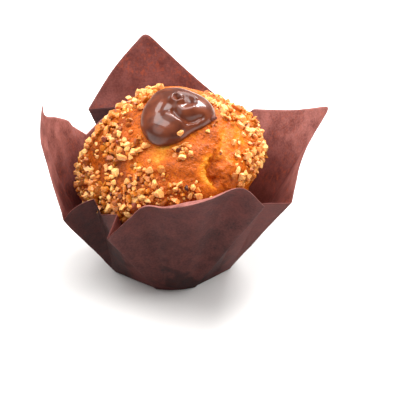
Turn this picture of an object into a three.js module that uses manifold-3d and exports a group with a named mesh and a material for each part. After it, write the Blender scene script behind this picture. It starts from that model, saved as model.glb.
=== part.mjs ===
// A muffin with chopped nuts and a spoonful of cream, in a folded paper tulip case.
// Millimetres, +Z up. The origin is the centre of the flat base of the case, and -Y is the front.

import * as THREE from 'three';
import { ParametricGeometry } from 'three/addons/geometries/ParametricGeometry.js';
import { ImprovedNoise } from 'three/addons/math/ImprovedNoise.js';
import { mergeVertices } from 'three/addons/utils/BufferGeometryUtils.js';
import Module from 'manifold-3d';

// Driving dimensions of the muffin
const RIM_RADIUS = 37;
const RIM_HEIGHT = 46.5;
const DOME_HEIGHT = 30.5;
const DOME_ROUNDNESS = 1.75;
const DOME_POINT = 1.5;
const DOME_LEAN = 8;
const APEX_SHIFT = -3.5;
const WAIST_RADIUS = 34;
const WAIST_HEIGHT = 36.5;
const FOOT_RADIUS = 21.8;
const FOOT_HEIGHT = 1;
const WALL_BULGE = 1;
const CRUST_DETAIL = 12;
const LUMP_HEIGHT = 0.7;
const CRACK_DEPTH = 2.2;
const CRACK_WIDTH = 2;
const BLOCK_RISE = 1.3;

// Driving dimensions of the chopped nuts
const NUT_COUNT = 84;
const NUT_SIZE = [2.8, 4.4];
const NUT_SPACING = 5;
const NUT_CLEARANCE = 1.3;
const NUT_SEED = 71;

// Driving dimensions of the cream
const CREAM_CENTRE = [0.13, -0.19];
const CREAM_REACH = [0.31, 0.305, 0.28, 0.31, 0.31, 0.272, 0.29, 0.335, 0.358, 0.3, 0.243, 0.262];
const CREAM_THICKNESS = 4.1;
const CREAM_DETAIL = 8;
const CREAM_GAP = 0.65;

// Driving dimensions of the paper case
const BASE_CORNER = 1.3;
const PAPER = 0.4;
const SIDE_COLUMNS = 7;
const PLEAT_COLUMNS = [2, 3, 3, 3];
const WALL_ROWS = 9;

const wasm = await Module();
wasm.setup();
const noise = new ImprovedNoise();

function radians(degrees) {
  return THREE.MathUtils.degToRad(degrees);
}

function cylindrical(azimuth, radius, height) {
  const angle = radians(azimuth);
  return new THREE.Vector3(radius * Math.cos(angle), radius * Math.sin(angle), height);
}

// A closed geometry as a solid, with its shared vertices merged and its empty triangles dropped.
function solidOf(geometry) {
  const bare = geometry.clone();
  bare.deleteAttribute('normal');
  bare.deleteAttribute('uv');
  const merged = mergeVertices(bare, 1e-4);
  const index = merged.index.array;
  const kept = [];
  for (let i = 0; i < index.length; i += 3) {
    const [a, b, c] = [index[i], index[i + 1], index[i + 2]];
    if (a !== b && b !== c && c !== a) {
      kept.push(a, b, c);
    }
  }
  const mesh = new wasm.Mesh({
    numProp: 3,
    vertProperties: new Float32Array(merged.attributes.position.array),
    triVerts: new Uint32Array(kept),
  });
  return new wasm.Manifold(mesh);
}

// A solid as a geometry for one mesh of the scene.
function geometryOf(solid) {
  const mesh = solid.getMesh();
  const geometry = new THREE.BufferGeometry();
  geometry.setAttribute('position', new THREE.BufferAttribute(mesh.vertProperties, 3));
  geometry.setIndex(new THREE.BufferAttribute(mesh.triVerts, 1));
  geometry.computeVertexNormals();
  return geometry;
}

// The outline of the muffin from its peak, over the rim and down the wall to the middle of its foot.
class Meridian extends THREE.Curve {
  getPoint(t, target = new THREE.Vector3()) {
    const part = 4 * t;
    if (part <= 1) {
      const radius = RIM_RADIUS * Math.sin((part * Math.PI) / 2);
      const reach = (radius / RIM_RADIUS) ** DOME_ROUNDNESS;
      return target.set(radius, 0, RIM_HEIGHT + DOME_HEIGHT * Math.max(1 - reach, 0) ** (1 / DOME_POINT));
    }
    if (part <= 2) {
      const angle = ((part - 1) * Math.PI) / 2;
      const radius = RIM_RADIUS - (RIM_RADIUS - WAIST_RADIUS) * (1 - Math.cos(angle));
      return target.set(radius, 0, RIM_HEIGHT - (RIM_HEIGHT - WAIST_HEIGHT) * Math.sin(angle));
    }
    if (part <= 3) {
      const down = part - 2;
      const bulge = WALL_BULGE * Math.sin(Math.PI * down);
      const radius = THREE.MathUtils.lerp(WAIST_RADIUS, FOOT_RADIUS, down) + bulge;
      return target.set(radius, 0, THREE.MathUtils.lerp(WAIST_HEIGHT, FOOT_HEIGHT, down));
    }
    return target.set(FOOT_RADIUS * (4 - part), 0, FOOT_HEIGHT);
  }
}

const meridian = new Meridian();
meridian.arcLengthDivisions = 800;
const meridianLength = meridian.getLength();
const domeShare = lengthTo(0.25) / meridianLength;
const footShare = lengthTo(0.75) / meridianLength;

function lengthTo(t) {
  const lengths = meridian.getLengths();
  return lengths[Math.round(t * (lengths.length - 1))];
}

// A smooth line through places in plan coordinates, which run from 0 at the peak to 1 at the rim.
function planLine(places) {
  const points = places.map(([x, y]) => new THREE.Vector3(x, y, 0));
  return points.length > 1 ? new THREE.CatmullRomCurve3(points).getPoints(24) : points;
}

function distanceTo(line, plan) {
  return Math.min(...line.map((at) => at.distanceTo(plan)));
}

function bell(distance, width) {
  return Math.exp(-((distance / width) ** 2));
}

// The crack runs down the front right of the dome, beside a raised block of crust.
const crackPlaces = [[0.48, -0.26], [0.51, -0.36], [0.5, -0.48], [0.4, -0.64], [0.39, -0.73], [0.52, -0.84]];
const crack = planLine(crackPlaces);
const block = planLine([[0.59, -0.66]]);

function crustRelief(point, plan) {
  const lumps = noise.noise(point.x / 11, point.y / 11, point.z / 11);
  const grain = noise.noise(point.x / 5 + 9, point.y / 5, point.z / 5);
  const groove = CRACK_DEPTH * bell(distanceTo(crack, plan) * RIM_RADIUS, CRACK_WIDTH);
  const swell = BLOCK_RISE * bell(distanceTo(block, plan), 0.14);
  return 2 * LUMP_HEIGHT * lumps + LUMP_HEIGHT * grain - groove + swell;
}

// The bare form of the muffin at a share of the way along its outline.
function muffinForm(angle, share, target = new THREE.Vector3()) {
  meridian.getPointAt(Math.min(Math.max(share, 0), 1), target);
  const radius = target.x;
  const above = Math.max(target.z - RIM_HEIGHT, 0) / DOME_HEIGHT;
  target.x = radius * Math.cos(angle) + APEX_SHIFT * above;
  target.y = radius * Math.sin(angle);
  const weight = above > 0 ? 1 - 0.35 * above : THREE.MathUtils.smoothstep(target.z, 8, RIM_HEIGHT);
  target.z += (DOME_LEAN * target.x * weight) / RIM_RADIUS;
  return target;
}

function muffinNormal(angle, share) {
  const step = 0.004;
  const around = muffinForm(angle + step, share).sub(muffinForm(angle - step, share));
  const along = muffinForm(angle, share + step).sub(muffinForm(angle, share - step));
  return along.cross(around).normalize();
}

// A point on the baked surface, raised by the given height.
function crustPoint(angle, share, raise = 0) {
  const point = muffinForm(angle, share);
  if (share > footShare - 0.02) {
    return point;
  }
  const dome = THREE.MathUtils.smoothstep(footShare - share, 0.02, 0.2);
  const reach = Math.min(share / domeShare, 1.3);
  const plan = new THREE.Vector3(reach * Math.cos(angle), reach * Math.sin(angle), 0);
  const relief = crustRelief(point, plan) * dome;
  return point.addScaledVector(muffinNormal(angle, share), relief + raise);
}

// A ball of evenly spread triangles, wrapped onto the muffin from its peak down to its foot.
function muffinBody() {
  const geometry = new THREE.IcosahedronGeometry(1, CRUST_DETAIL);
  const position = geometry.attributes.position;
  const point = new THREE.Vector3();
  for (let i = 0; i < position.count; i += 1) {
    point.fromBufferAttribute(position, i).normalize();
    const share = Math.acos(THREE.MathUtils.clamp(point.z, -1, 1)) / Math.PI;
    const raised = crustPoint(Math.atan2(point.y, point.x), share);
    position.setXYZ(i, raised.x, raised.y, raised.z);
  }
  return solidOf(geometry);
}

// Plan coordinates on the dome as an angle and a share of the outline.
function fromPlan(x, y) {
  return [Math.atan2(y, x), Math.hypot(x, y) * domeShare];
}

// Plan radius of the cream's outline: a smooth curve through the radii at even steps of angle.
function creamReach(angle) {
  const count = CREAM_REACH.length;
  const place = (((angle / (2 * Math.PI)) % 1) + 1) * count;
  const first = Math.floor(place);
  const t = place - first;
  const [a, b, c, d] = [-1, 0, 1, 2].map((k) => CREAM_REACH[(first + k) % count]);
  return b + 0.5 * t * (c - a + t * (2 * a - 5 * b + 4 * c - d + t * (3 * (b - c) + d - a)));
}

// Swells, folds and the curl of the cream: places in plan coordinates, with a height and a width.
const CREAM_FOLDS = [
  { places: [[-0.03, -0.38]], height: 0.8, width: 0.17 },
  { places: [[0.31, -0.2]], height: 1, width: 0.11 },
  { places: [[0.13, -0.245], [0.18, -0.262], [0.23, -0.235]], height: 0.9, width: 0.03 },
  { places: [[0.1, -0.265], [0.13, -0.31], [0.18, -0.33], [0.31, -0.285]], height: -1.2, width: 0.024 },
  { places: [[0.05, -0.305], [0.12, -0.35], [0.165, -0.385]], height: 1, width: 0.03 },
  { places: [[0.12, -0.165]], height: 2.4, width: 0.05 },
  { places: [[0.132, -0.16]], height: -2, width: 0.022 },
  { places: [[0.175, -0.135], [0.21, -0.165]], height: -1.1, width: 0.032 },
  { places: [[0.13, -0.065], [0.19, -0.08], [0.245, -0.14]], height: 1, width: 0.026 },
].map((fold) => ({ ...fold, line: planLine(fold.places) }));

// Height of the cream above the crust: a rounded pat with its folds, which fade out at its edge.
function creamHeight(plan, fraction) {
  const pat = CREAM_THICKNESS * Math.sqrt(Math.max(1 - fraction ** 3.2, 0));
  const inside = THREE.MathUtils.smoothstep(1 - fraction, 0, 0.22);
  const folds = CREAM_FOLDS.map(({ line, height, width }) => height * bell(distanceTo(line, plan), width));
  return pat + inside * folds.reduce((sum, value) => sum + value, 0);
}

// The cream lies on the dome: a ball whose lower part follows the crust and whose upper part is the pat.
function creamBody() {
  const geometry = new THREE.IcosahedronGeometry(1, CREAM_DETAIL);
  const position = geometry.attributes.position;
  const point = new THREE.Vector3();
  for (let i = 0; i < position.count; i += 1) {
    point.fromBufferAttribute(position, i).normalize();
    const share = Math.acos(THREE.MathUtils.clamp(point.z, -1, 1)) / Math.PI;
    const top = share < 0.6;
    const quarter = (top ? share / 0.6 : (1 - share) / 0.4) * (Math.PI / 2);
    const fraction = (top ? 1 : 0.985) * Math.sin(quarter);
    const angle = Math.atan2(point.y, point.x);
    const reach = creamReach(angle) * fraction;
    const x = CREAM_CENTRE[0] + reach * Math.cos(angle);
    const y = CREAM_CENTRE[1] + reach * Math.sin(angle);
    const height = top ? creamHeight(new THREE.Vector3(x, y, 0), fraction) + 0.35 : 0;
    const raised = crustPoint(...fromPlan(x, y), CREAM_GAP + height);
    position.setXYZ(i, raised.x, raised.y, raised.z);
  }
  return solidOf(geometry);
}

// Repeatable random numbers from 0 to 1.
function makeRandom(seed) {
  let state = seed;
  return () => {
    state = (state * 1664525 + 1013904223) % 4294967296;
    return state / 4294967296;
  };
}

// One chopped nut: a ball of twenty faces with its corners moved, squashed and turned.
function nutBody(size, random, place) {
  const geometry = new THREE.IcosahedronGeometry(size / 2, 0);
  const position = geometry.attributes.position;
  const corners = new Map();
  const point = new THREE.Vector3();
  const squash = new THREE.Vector3(1.15, 0.75 + 0.3 * random(), 0.7 + 0.25 * random());
  const turn = new THREE.Euler(6 * random(), 6 * random(), 6 * random());
  for (let i = 0; i < position.count; i += 1) {
    point.fromBufferAttribute(position, i);
    const key = point.toArray().map((value) => value.toFixed(3)).join(' ');
    if (!corners.has(key)) {
      const moved = point.clone().multiplyScalar(0.85 + 0.35 * random());
      corners.set(key, moved.multiply(squash).applyEuler(turn).add(place));
    }
    position.setXYZ(i, ...corners.get(key).toArray());
  }
  return solidOf(geometry);
}

// Where nuts lie: a band round the rim, up the left and the back, with a bare patch at the front right.
function nutDensity(angle, share) {
  const reach = share / domeShare;
  const [x, y] = [reach * Math.cos(angle), reach * Math.sin(angle)];
  const band = THREE.MathUtils.smoothstep(reach, 0.62, 0.85);
  const left = THREE.MathUtils.smoothstep(-x, 0.1, 0.45) * THREE.MathUtils.smoothstep(reach, 0.3, 0.5);
  const bare = Math.exp(-(((x - 0.38) / 0.32) ** 2 + ((y + 0.64) / 0.24) ** 2));
  const cream = Math.hypot(x - CREAM_CENTRE[0], y - CREAM_CENTRE[1]);
  const covered = cream < creamReach(Math.atan2(y - CREAM_CENTRE[1], x - CREAM_CENTRE[0])) + 0.09;
  return covered ? 0 : Math.max(band, left) * (1 - bare);
}

// The nuts, largest first: each drawn place keeps its distance from those before and from the neighbours.
function addNuts(body, neighbours) {
  const random = makeRandom(NUT_SEED);
  const places = [];
  let joined = body;
  for (let draw = 0; draw < 6000 && places.length < NUT_COUNT; draw += 1) {
    const size = THREE.MathUtils.lerp(NUT_SIZE[1], NUT_SIZE[0], places.length / NUT_COUNT);
    const angle = 2 * Math.PI * random();
    const share = domeShare * Math.sqrt(0.1 + 1.35 * random());
    const place = crustPoint(angle, share, 0.12 * size);
    const open = random() < nutDensity(angle, share);
    if (open && places.every((other) => other.distanceTo(place) > NUT_SPACING)) {
      const ball = new THREE.IcosahedronGeometry(0.6 * size + NUT_CLEARANCE, 0);
      const guard = solidOf(ball.translate(...place.toArray()));
      if (neighbours.every((neighbour) => neighbour.intersect(guard).isEmpty())) {
        places.push(place);
        joined = joined.add(nutBody(size, random, place));
      }
    }
  }
  return joined;
}

// Raw edge of the paper, as azimuth, radius and height: the tip of each petal and points on both its sides.
// A bow bends the paper outward low down and high up, and slides the upper bend along the wall.
const PETALS = [
  {
    tip: [7, 65.5, 68.5],
    bow: [2, 2, 0],
    before: { through: [[346.5, 54.5, 55]], bow: [1, 1, 0] },
    after: { through: [[25, 57.5, 58.5]], bow: [1, 1, 0] },
  },
  {
    tip: [101.5, 58.8, 79.5],
    bow: [1, 1, 0],
    before: { through: [[82, 53.5, 62]], bow: [0.5, 0.5, 0] },
    after: { through: [[116.5, 57, 65]], bow: [0.5, 0.5, 0] },
  },
  {
    tip: [187, 51, 77.5],
    bow: [9, 9, 0],
    before: { through: [[155, 47.4, 55.3], [168, 47.9, 62.2], [185, 50.5, 70.9]], bow: [5, 5, 0] },
    after: { through: [[196, 53, 64.5], [203, 53, 58.5], [210, 52.3, 47.3]], bow: [5, 5, 0] },
  },
  {
    tip: [278, 64.5, 62.6],
    bow: [2, -18, 8],
    before: { through: [[248, 50, 43], [253, 50, 48], [259, 48.5, 52.8], [269, 55, 56.2]], bow: [2, -10, 12] },
    after: { through: [[286, 62.5, 63.6], [298.4, 58.5, 63.1]], bow: [1, -12, 8] },
  },
];

// Pleats between the petals: raw-edge points of their creases, a point that arches the raw edge of the
// first facet, and where the creases meet the base, as azimuth and radius.
const PLEATS = [
  {
    edge: [[49, 53, 51], [53, 47, 47], [57, 42, 44], [61, 48, 46], [66, 56.5, 48]],
    foot: [[38, 25.9], [42, 25.9], [57, 25.9], [72, 25.9], [76, 25.9]],
  },
  {
    edge: [[130, 57, 49], [120, 46.5, 52], [134, 44.5, 49.3], [144, 45, 45.7], [152, 47.5, 52]],
    foot: [[118, 25.9], [121, 25.9], [136, 25.9], [151, 25.9], [156, 25.9]],
  },
  {
    edge: [[218, 53, 37.5], [224.3, 41.4, 45.8], [229.5, 41.4, 40], [239.2, 39.8, 41.8], [241, 50, 36]],
    arch: [220, 48.5, 42.9],
    foot: [[201, 26.6], [204, 26.4], [228, 23.3], [252, 24.2], [255.5, 25.2]],
  },
  {
    edge: [[311, 57, 50], [315, 48, 46], [319, 42, 42], [324, 47, 43], [332, 55, 42]],
    foot: [[294, 25.2], [297.5, 24.2], [320, 23.6], [341, 26.2], [344, 26.4]],
  },
];

function column(edge, foot, bow) {
  const start = foot.clone().setZ(BASE_CORNER);
  const third = edge.clone().sub(start).multiplyScalar(1 / 3);
  const tangent = third.clone().normalize();
  const outward = foot.clone().normalize();
  outward.addScaledVector(tangent, -outward.dot(tangent)).normalize();
  const low = start.clone().add(third).addScaledVector(outward, bow[0]);
  const high = edge.clone().sub(third).addScaledVector(outward, bow[1]).addScaledVector(tangent, bow[2]);
  return { foot, curve: new THREE.CubicBezierCurve3(start, low, high, edge) };
}

// Columns over one side of a petal. Along the raw edge they run between a crease and the tip.
function sideColumns(side, ends, feet, bows) {
  const through = side.through.map((place) => cylindrical(...place));
  const edge = new THREE.CatmullRomCurve3([ends[0], ...through, ends[1]], false, 'centripetal');
  const stops = [bows[0], side.bow, bows[1]];
  return Array.from({ length: SIDE_COLUMNS }, (_, i) => {
    const t = i / SIDE_COLUMNS;
    const half = t < 0.5 ? 0 : 1;
    const ease = THREE.MathUtils.smoothstep(2 * t - half, 0, 1);
    const bow = stops[half].map((value, k) => THREE.MathUtils.lerp(value, stops[half + 1][k], ease));
    const [azimuth, radius] = feet[0].map((value, k) => THREE.MathUtils.lerp(value, feet[1][k], t));
    return column(edge.getPointAt(t), cylindrical(azimuth, radius, 0), bow);
  });
}

function pleatColumns(pleat) {
  const edge = pleat.edge.map((place) => cylindrical(...place));
  const foot = pleat.foot.map((place) => cylindrical(...place, 0));
  return PLEAT_COLUMNS.flatMap((count, k) => Array.from({ length: count }, (_, i) => {
    const t = i / count;
    const top = edge[k].clone().lerp(edge[k + 1], t);
    if (k === 0 && pleat.arch) {
      const swell = cylindrical(...pleat.arch).addScaledVector(edge[0], -0.5).addScaledVector(edge[1], -0.5);
      top.addScaledVector(swell, 4 * t * (1 - t));
    }
    return column(top, foot[k].clone().lerp(foot[k + 1], t), [0, 0, 0]);
  }));
}

function caseColumns() {
  return PETALS.flatMap((petal, k) => {
    const last = PLEATS[(k + 3) % 4];
    const next = PLEATS[k];
    const tip = cylindrical(...petal.tip);
    const crease = [cylindrical(...last.edge[4]), cylindrical(...next.edge[0])];
    const lastFoot = [last.foot[4][0] - (last.foot[4][0] > petal.tip[0] ? 360 : 0), last.foot[4][1]];
    const middle = lastFoot.map((value, i) => (value + next.foot[0][i]) / 2);
    const flat = [0, 0, 0];
    const rise = sideColumns(petal.before, [crease[0], tip], [lastFoot, middle], [flat, petal.bow]);
    const fall = sideColumns(petal.after, [tip, crease[1]], [middle, next.foot[0]], [petal.bow, flat]);
    return [...rise, ...fall, ...pleatColumns(next)];
  });
}

// Middle surface of the paper: two rows round the base corner, then up each column to the raw edge.
function paperGrid() {
  const columns = caseColumns();
  const grid = columns.map(({ foot, curve }) => {
    const wall = Array.from({ length: WALL_ROWS }, (_, i) => curve.getPoint((i / (WALL_ROWS - 1)) ** 0.85));
    const radius = foot.length();
    const flat = foot.clone().setLength(radius - 1.3).setZ(PAPER / 2);
    const bend = foot.clone().setLength(radius - 0.4).setZ(0.55);
    return [flat, bend, ...wall];
  });
  roundTips(grid);
  return grid;
}

// Each petal tip is drawn back toward its neighbours, so that the corner of the sheet is round.
function roundTips(grid) {
  const period = grid.length / 4;
  for (let k = 0; k < 4; k += 1) {
    const tip = k * period + SIDE_COLUMNS;
    const top = grid[tip].length - 1;
    const beside = grid[tip - 1][top].clone().add(grid[tip + 1][top]).multiplyScalar(0.5);
    grid[tip][top].lerp(beside, 0.22);
  }
}

function facet(grid, i, j, way) {
  const count = grid.length;
  const rows = grid[0].length;
  const across = grid[(i + way + count) % count][j].clone().sub(grid[i][j]).multiplyScalar(way);
  const along = grid[i][Math.min(j + 1, rows - 1)].clone().sub(grid[i][Math.max(j - 1, 0)]);
  return across.cross(along).normalize();
}

// Outward offset of the paper's face, stretched a little where the paper is creased.
function paperOffset(grid, i, j) {
  const [left, right] = [facet(grid, i, j, -1), facet(grid, i, j, 1)];
  const sum = left.clone().add(right).normalize();
  const stretch = Math.min(1 / Math.max(sum.dot(right), 0.01), 1.6);
  return sum.multiplyScalar((PAPER / 2) * stretch);
}

// The closed sheet: from the middle of the underside up the outer face, over the raw edge and down inside.
function caseBody() {
  const grid = paperGrid();
  const rows = grid[0].length;
  const loops = 2 * rows + 2;
  const shape = (u, v, target) => {
    const i = Math.round(u * grid.length) % grid.length;
    const k = Math.round(v * (loops - 1));
    if (k === 0 || k === loops - 1) {
      target.set(0, 0, k === 0 ? 0 : PAPER);
      return;
    }
    const outer = k <= rows;
    const j = outer ? k - 1 : loops - 2 - k;
    target.copy(grid[i][j]);
    if (j === 0) {
      target.z = outer ? 0 : PAPER;
    } else {
      target.addScaledVector(paperOffset(grid, i, j), outer ? 1 : -1);
    }
  };
  return solidOf(new ParametricGeometry(shape, grid.length, loops - 1));
}

function namedMesh(name, solid, color, roughness) {
  const material = new THREE.MeshStandardMaterial({ color, roughness, metalness: 0 });
  const mesh = new THREE.Mesh(geometryOf(solid), material);
  mesh.name = name;
  return mesh;
}

const tulipCase = caseBody();
const creamPat = creamBody();
const nutOnCream = crustPoint(...fromPlan(0.15, -0.44), CREAM_GAP + 2.6);
const cream = creamPat.add(nutBody(3.2, makeRandom(5), nutOnCream));
const muffin = addNuts(muffinBody(), [tulipCase, cream]);

const group = new THREE.Group();
group.add(namedMesh('tulip_case', tulipCase, 0x5f3d39, 0.75));
group.add(namedMesh('muffin', muffin, 0xd0843c, 0.5));
group.add(namedMesh('cream', cream, 0x6b3b2c, 0.2));

export default group;
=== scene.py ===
"""Looks of a muffin with chopped nuts and cream in a folded paper tulip case."""

import logging
from dataclasses import dataclass
from enum import Enum
from functools import cached_property

import bpy
import numpy as np
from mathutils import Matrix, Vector

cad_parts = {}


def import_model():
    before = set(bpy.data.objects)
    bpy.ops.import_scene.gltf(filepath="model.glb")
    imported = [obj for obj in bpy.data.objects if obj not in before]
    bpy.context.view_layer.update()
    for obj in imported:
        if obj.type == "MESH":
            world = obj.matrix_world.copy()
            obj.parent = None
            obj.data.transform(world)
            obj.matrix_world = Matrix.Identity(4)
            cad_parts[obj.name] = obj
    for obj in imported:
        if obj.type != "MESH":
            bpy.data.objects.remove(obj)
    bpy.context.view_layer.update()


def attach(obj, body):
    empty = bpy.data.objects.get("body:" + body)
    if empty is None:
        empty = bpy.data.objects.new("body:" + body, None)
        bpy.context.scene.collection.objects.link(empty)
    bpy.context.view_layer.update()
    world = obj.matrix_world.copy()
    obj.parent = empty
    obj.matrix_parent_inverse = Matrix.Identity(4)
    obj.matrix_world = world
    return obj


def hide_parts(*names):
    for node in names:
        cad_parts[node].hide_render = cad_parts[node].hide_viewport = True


MM = 0.001
FULL_TURN = 2.0 * np.pi
# Points of a stroke, and steps of a smooth line between two of its points before it is spaced evenly.
LINE_STEPS = 40
Array = np.ndarray
Socket = bpy.types.NodeSocket
Triple = tuple[float, float, float]
log = logging.getLogger("muffin")


def smoothstep(value: Array, low: float, high: float) -> Array:
    """Ease a value from 0 at one limit to 1 at the other.

    Args:
        value: Numbers to ease.
        low: Where the result is 0.
        high: Where the result is 1.

    Returns:
        The cubic 3t^2 - 2t^3 of the value's share of the way between the limits.
    """
    share = np.clip((value - low) / (high - low), 0.0, 1.0)
    return share * share * (3.0 - 2.0 * share)


def bell(distance: Array, width: float) -> Array:
    """Give exp(-(distance / width)^2), a bump one wide."""
    return np.exp(-((distance / width) ** 2))


def unit(vectors: Array) -> Array:
    """Scale vectors along the last axis to length 1."""
    return vectors / np.maximum(np.linalg.norm(vectors, axis=-1, keepdims=True), 1e-12)


def cylindrical(azimuth: Array, radius: Array, height: Array) -> Array:
    """Turn azimuth in degrees, radius and height into points."""
    angle = np.radians(azimuth)
    return np.stack([radius * np.cos(angle), radius * np.sin(angle), height + 0.0 * angle], axis=-1)


def spline(points: Array, count: int) -> Array:
    """Draw a smooth line through points.

    Args:
        points: Points to pass through.
        count: Number of points wanted, evenly spaced along the line.

    Returns:
        A cubic line that leaves each point in a direction blended from the chords on both its sides, with the
        chords timed by the square root of their length.
    """
    full = np.concatenate([2.0 * points[:1] - points[1:2], points, 2.0 * points[-1:] - points[-2:-1]])
    time = np.sqrt(np.linalg.norm(np.diff(full, axis=0), axis=1))[:, None]
    a, b, c, d = full[:-3], full[1:-2], full[2:-1], full[3:]
    before, now, after = time[:-2], time[1:-1], time[2:]
    leave = ((b - a) / before - (c - a) / (before + now) + (c - b) / now) * now
    arrive = ((c - b) / now - (d - b) / (now + after) + (d - c) / after) * now
    t = np.linspace(0.0, 1.0, LINE_STEPS, endpoint=False)[None, :, None]
    rise = t * t * (3.0 - 2.0 * t)
    fine = b[:, None] * (1.0 - rise) + c[:, None] * rise
    fine = fine + leave[:, None] * t * (1.0 - t) ** 2 - arrive[:, None] * t * t * (1.0 - t)
    fine = np.concatenate([fine.reshape(-1, points.shape[1]), points[-1:]])
    length = np.concatenate([[0.0], np.cumsum(np.linalg.norm(np.diff(fine, axis=0), axis=1))])
    stops = np.linspace(0.0, length[-1], count)
    return np.stack([np.interp(stops, length, column) for column in fine.T], axis=-1)


def plateau(value: Array, limits: tuple[float, float, float, float]) -> Array:
    """Rise from 0 to 1 between the first two limits and fall back between the last two."""
    return smoothstep(value, *limits[:2]) * (1.0 - smoothstep(value, *limits[2:]))


def polar_grid(columns: int, share: Array) -> tuple[Array, Array]:
    """Pair evenly spaced angles, once round, with each share."""
    return np.meshgrid(np.arange(columns) * FULL_TURN / columns, share, indexing="ij")


def linear(code: str, alpha: float = 1.0) -> tuple[float, ...]:
    """Turn an sRGB hex colour into a linear colour.

    Args:
        code: Six hex digits, such as "8c5a4b".
        alpha: Opacity.

    Returns:
        Linear red, green, blue and alpha.
    """
    parts = np.array([int(code[i : i + 2], 16) for i in (0, 2, 4)]) / 255.0
    curve = np.where(parts <= 0.04045, parts / 12.92, ((parts + 0.055) / 1.055) ** 2.4)
    return (*curve.tolist(), alpha)


class LatticeNoise:
    """Seeded smooth noise in space, from -1 to 1."""

    def __init__(self, seed: int, cells: int = 48) -> None:
        """Draw the values on the lattice.

        Args:
            seed: Start of the random draw.
            cells: Lattice size before the pattern repeats.
        """
        self.cells = cells
        self.values = np.random.default_rng(seed).uniform(-1.0, 1.0, (cells, cells, cells))

    def __call__(self, points: Array, size: float) -> Array:
        """Blend the eight lattice values round each point.

        Args:
            points: Points in millimetres.
            size: Lattice cell in millimetres.

        Returns:
            One value for each point.
        """
        place = points / size
        cell = np.floor(place).astype(int)
        share = place - cell
        share = share * share * (3.0 - 2.0 * share)
        total = np.zeros(points.shape[:-1])
        for corner in np.ndindex(2, 2, 2):
            weight = np.prod(np.where(corner, share, 1.0 - share), axis=-1)
            x, y, z = np.moveaxis((cell + corner) % self.cells, -1, 0)
            total += weight * self.values[x, y, z]
        return total

    def octaves(self, points: Array, size: float, count: int) -> Array:
        """Sum noises of halving size and strength."""
        return sum(self(points + 17.3 * k, size / 2**k) / 2**k for k in range(count))


@dataclass
class MeshDraft:
    """Points and faces on their way to becoming an object.

    Attributes:
        points: Points in millimetres.
        quads: Corner indices of the four-sided faces.
        tris: Corner indices of the three-sided faces.
        marks: Named numbers, one for each point, that the materials read.
    """

    points: Array
    quads: Array
    tris: Array
    marks: dict[str, Array]

    def volume(self) -> float:
        """Measure the enclosed volume, which is negative when the faces point in.

        Returns:
            Six times the signed volume, summed over the triangles that the faces split into.
        """
        split = np.concatenate([self.quads[:, [0, 1, 2]], self.quads[:, [0, 2, 3]], self.tris])
        a, b, c = np.moveaxis(self.points[split], 1, 0)
        return float(np.einsum("ij,ij->", a, np.cross(b, c)))

    def build(self, name: str, material: bpy.types.Material, crease: float = 180.0) -> bpy.types.Object:
        """Make the object, smooth and with its faces pointing out.

        Args:
            name: Object name.
            material: Its one material.
            crease: Angle in degrees above which an edge is sharp.

        Returns:
            The new object at the origin.
        """
        if self.volume() < 0.0:
            self.quads, self.tris = self.quads[:, ::-1], self.tris[:, ::-1]
        mesh = bpy.data.meshes.new(name)
        mesh.vertices.add(len(self.points))
        mesh.vertices.foreach_set("co", (self.points * MM).astype(np.float32).ravel())
        corners = np.concatenate([self.quads.ravel(), self.tris.ravel()]).astype(np.int32)
        totals = np.repeat([4, 3], [len(self.quads), len(self.tris)])
        mesh.loops.add(len(corners))
        mesh.loops.foreach_set("vertex_index", corners)
        mesh.polygons.add(len(totals))
        mesh.polygons.foreach_set("loop_start", (np.cumsum(totals) - totals).astype(np.int32))
        mesh.update(calc_edges=True)
        mesh.shade_smooth()
        if crease < 180.0:
            mesh.set_sharp_from_angle(angle=np.radians(crease))
        for label, values in self.marks.items():
            layer = mesh.attributes.new(label, "FLOAT", "POINT")
            layer.data.foreach_set("value", values.astype(np.float32).ravel())
        mesh.materials.append(material)
        mesh.validate()
        item = bpy.data.objects.new(name, mesh)
        bpy.context.scene.collection.objects.link(item)
        return item


def closed_surface(rings: Array, marks: dict[str, Array], poles: Array | None = None) -> MeshDraft:
    """Close a grid of columns that run from one pole to the other.

    Args:
        rings: Points by column, all the way round, and by row.
        marks: Named numbers on the grid; each pole takes the mean of the row beside it.
        poles: The points before the first row and after the last one, or None for the means of those rows.

    Returns:
        A draft of quads between the rows and a fan of triangles at each pole.
    """
    if poles is None:
        poles = rings[:, [0, -1]].mean(axis=0)
    columns, rows = rings.shape[:2]
    index = np.arange(columns * rows).reshape(columns, rows)
    beside = np.roll(index, -1, axis=0)
    quads = np.stack([index[:, :-1], index[:, 1:], beside[:, 1:], beside[:, :-1]], axis=-1).reshape(-1, 4)
    start, end = columns * rows, columns * rows + 1
    first = np.stack([np.full(columns, start), index[:, 0], beside[:, 0]], axis=-1)
    last = np.stack([np.full(columns, end), beside[:, -1], index[:, -1]], axis=-1)
    ends = {label: [grid[:, 0].mean(), grid[:, -1].mean()] for label, grid in marks.items()}
    full = {label: np.concatenate([grid.ravel(), ends[label]]) for label, grid in marks.items()}
    points = np.concatenate([rings.reshape(-1, 3), poles])
    return MeshDraft(points, quads, np.concatenate([first, last]), full)


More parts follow.
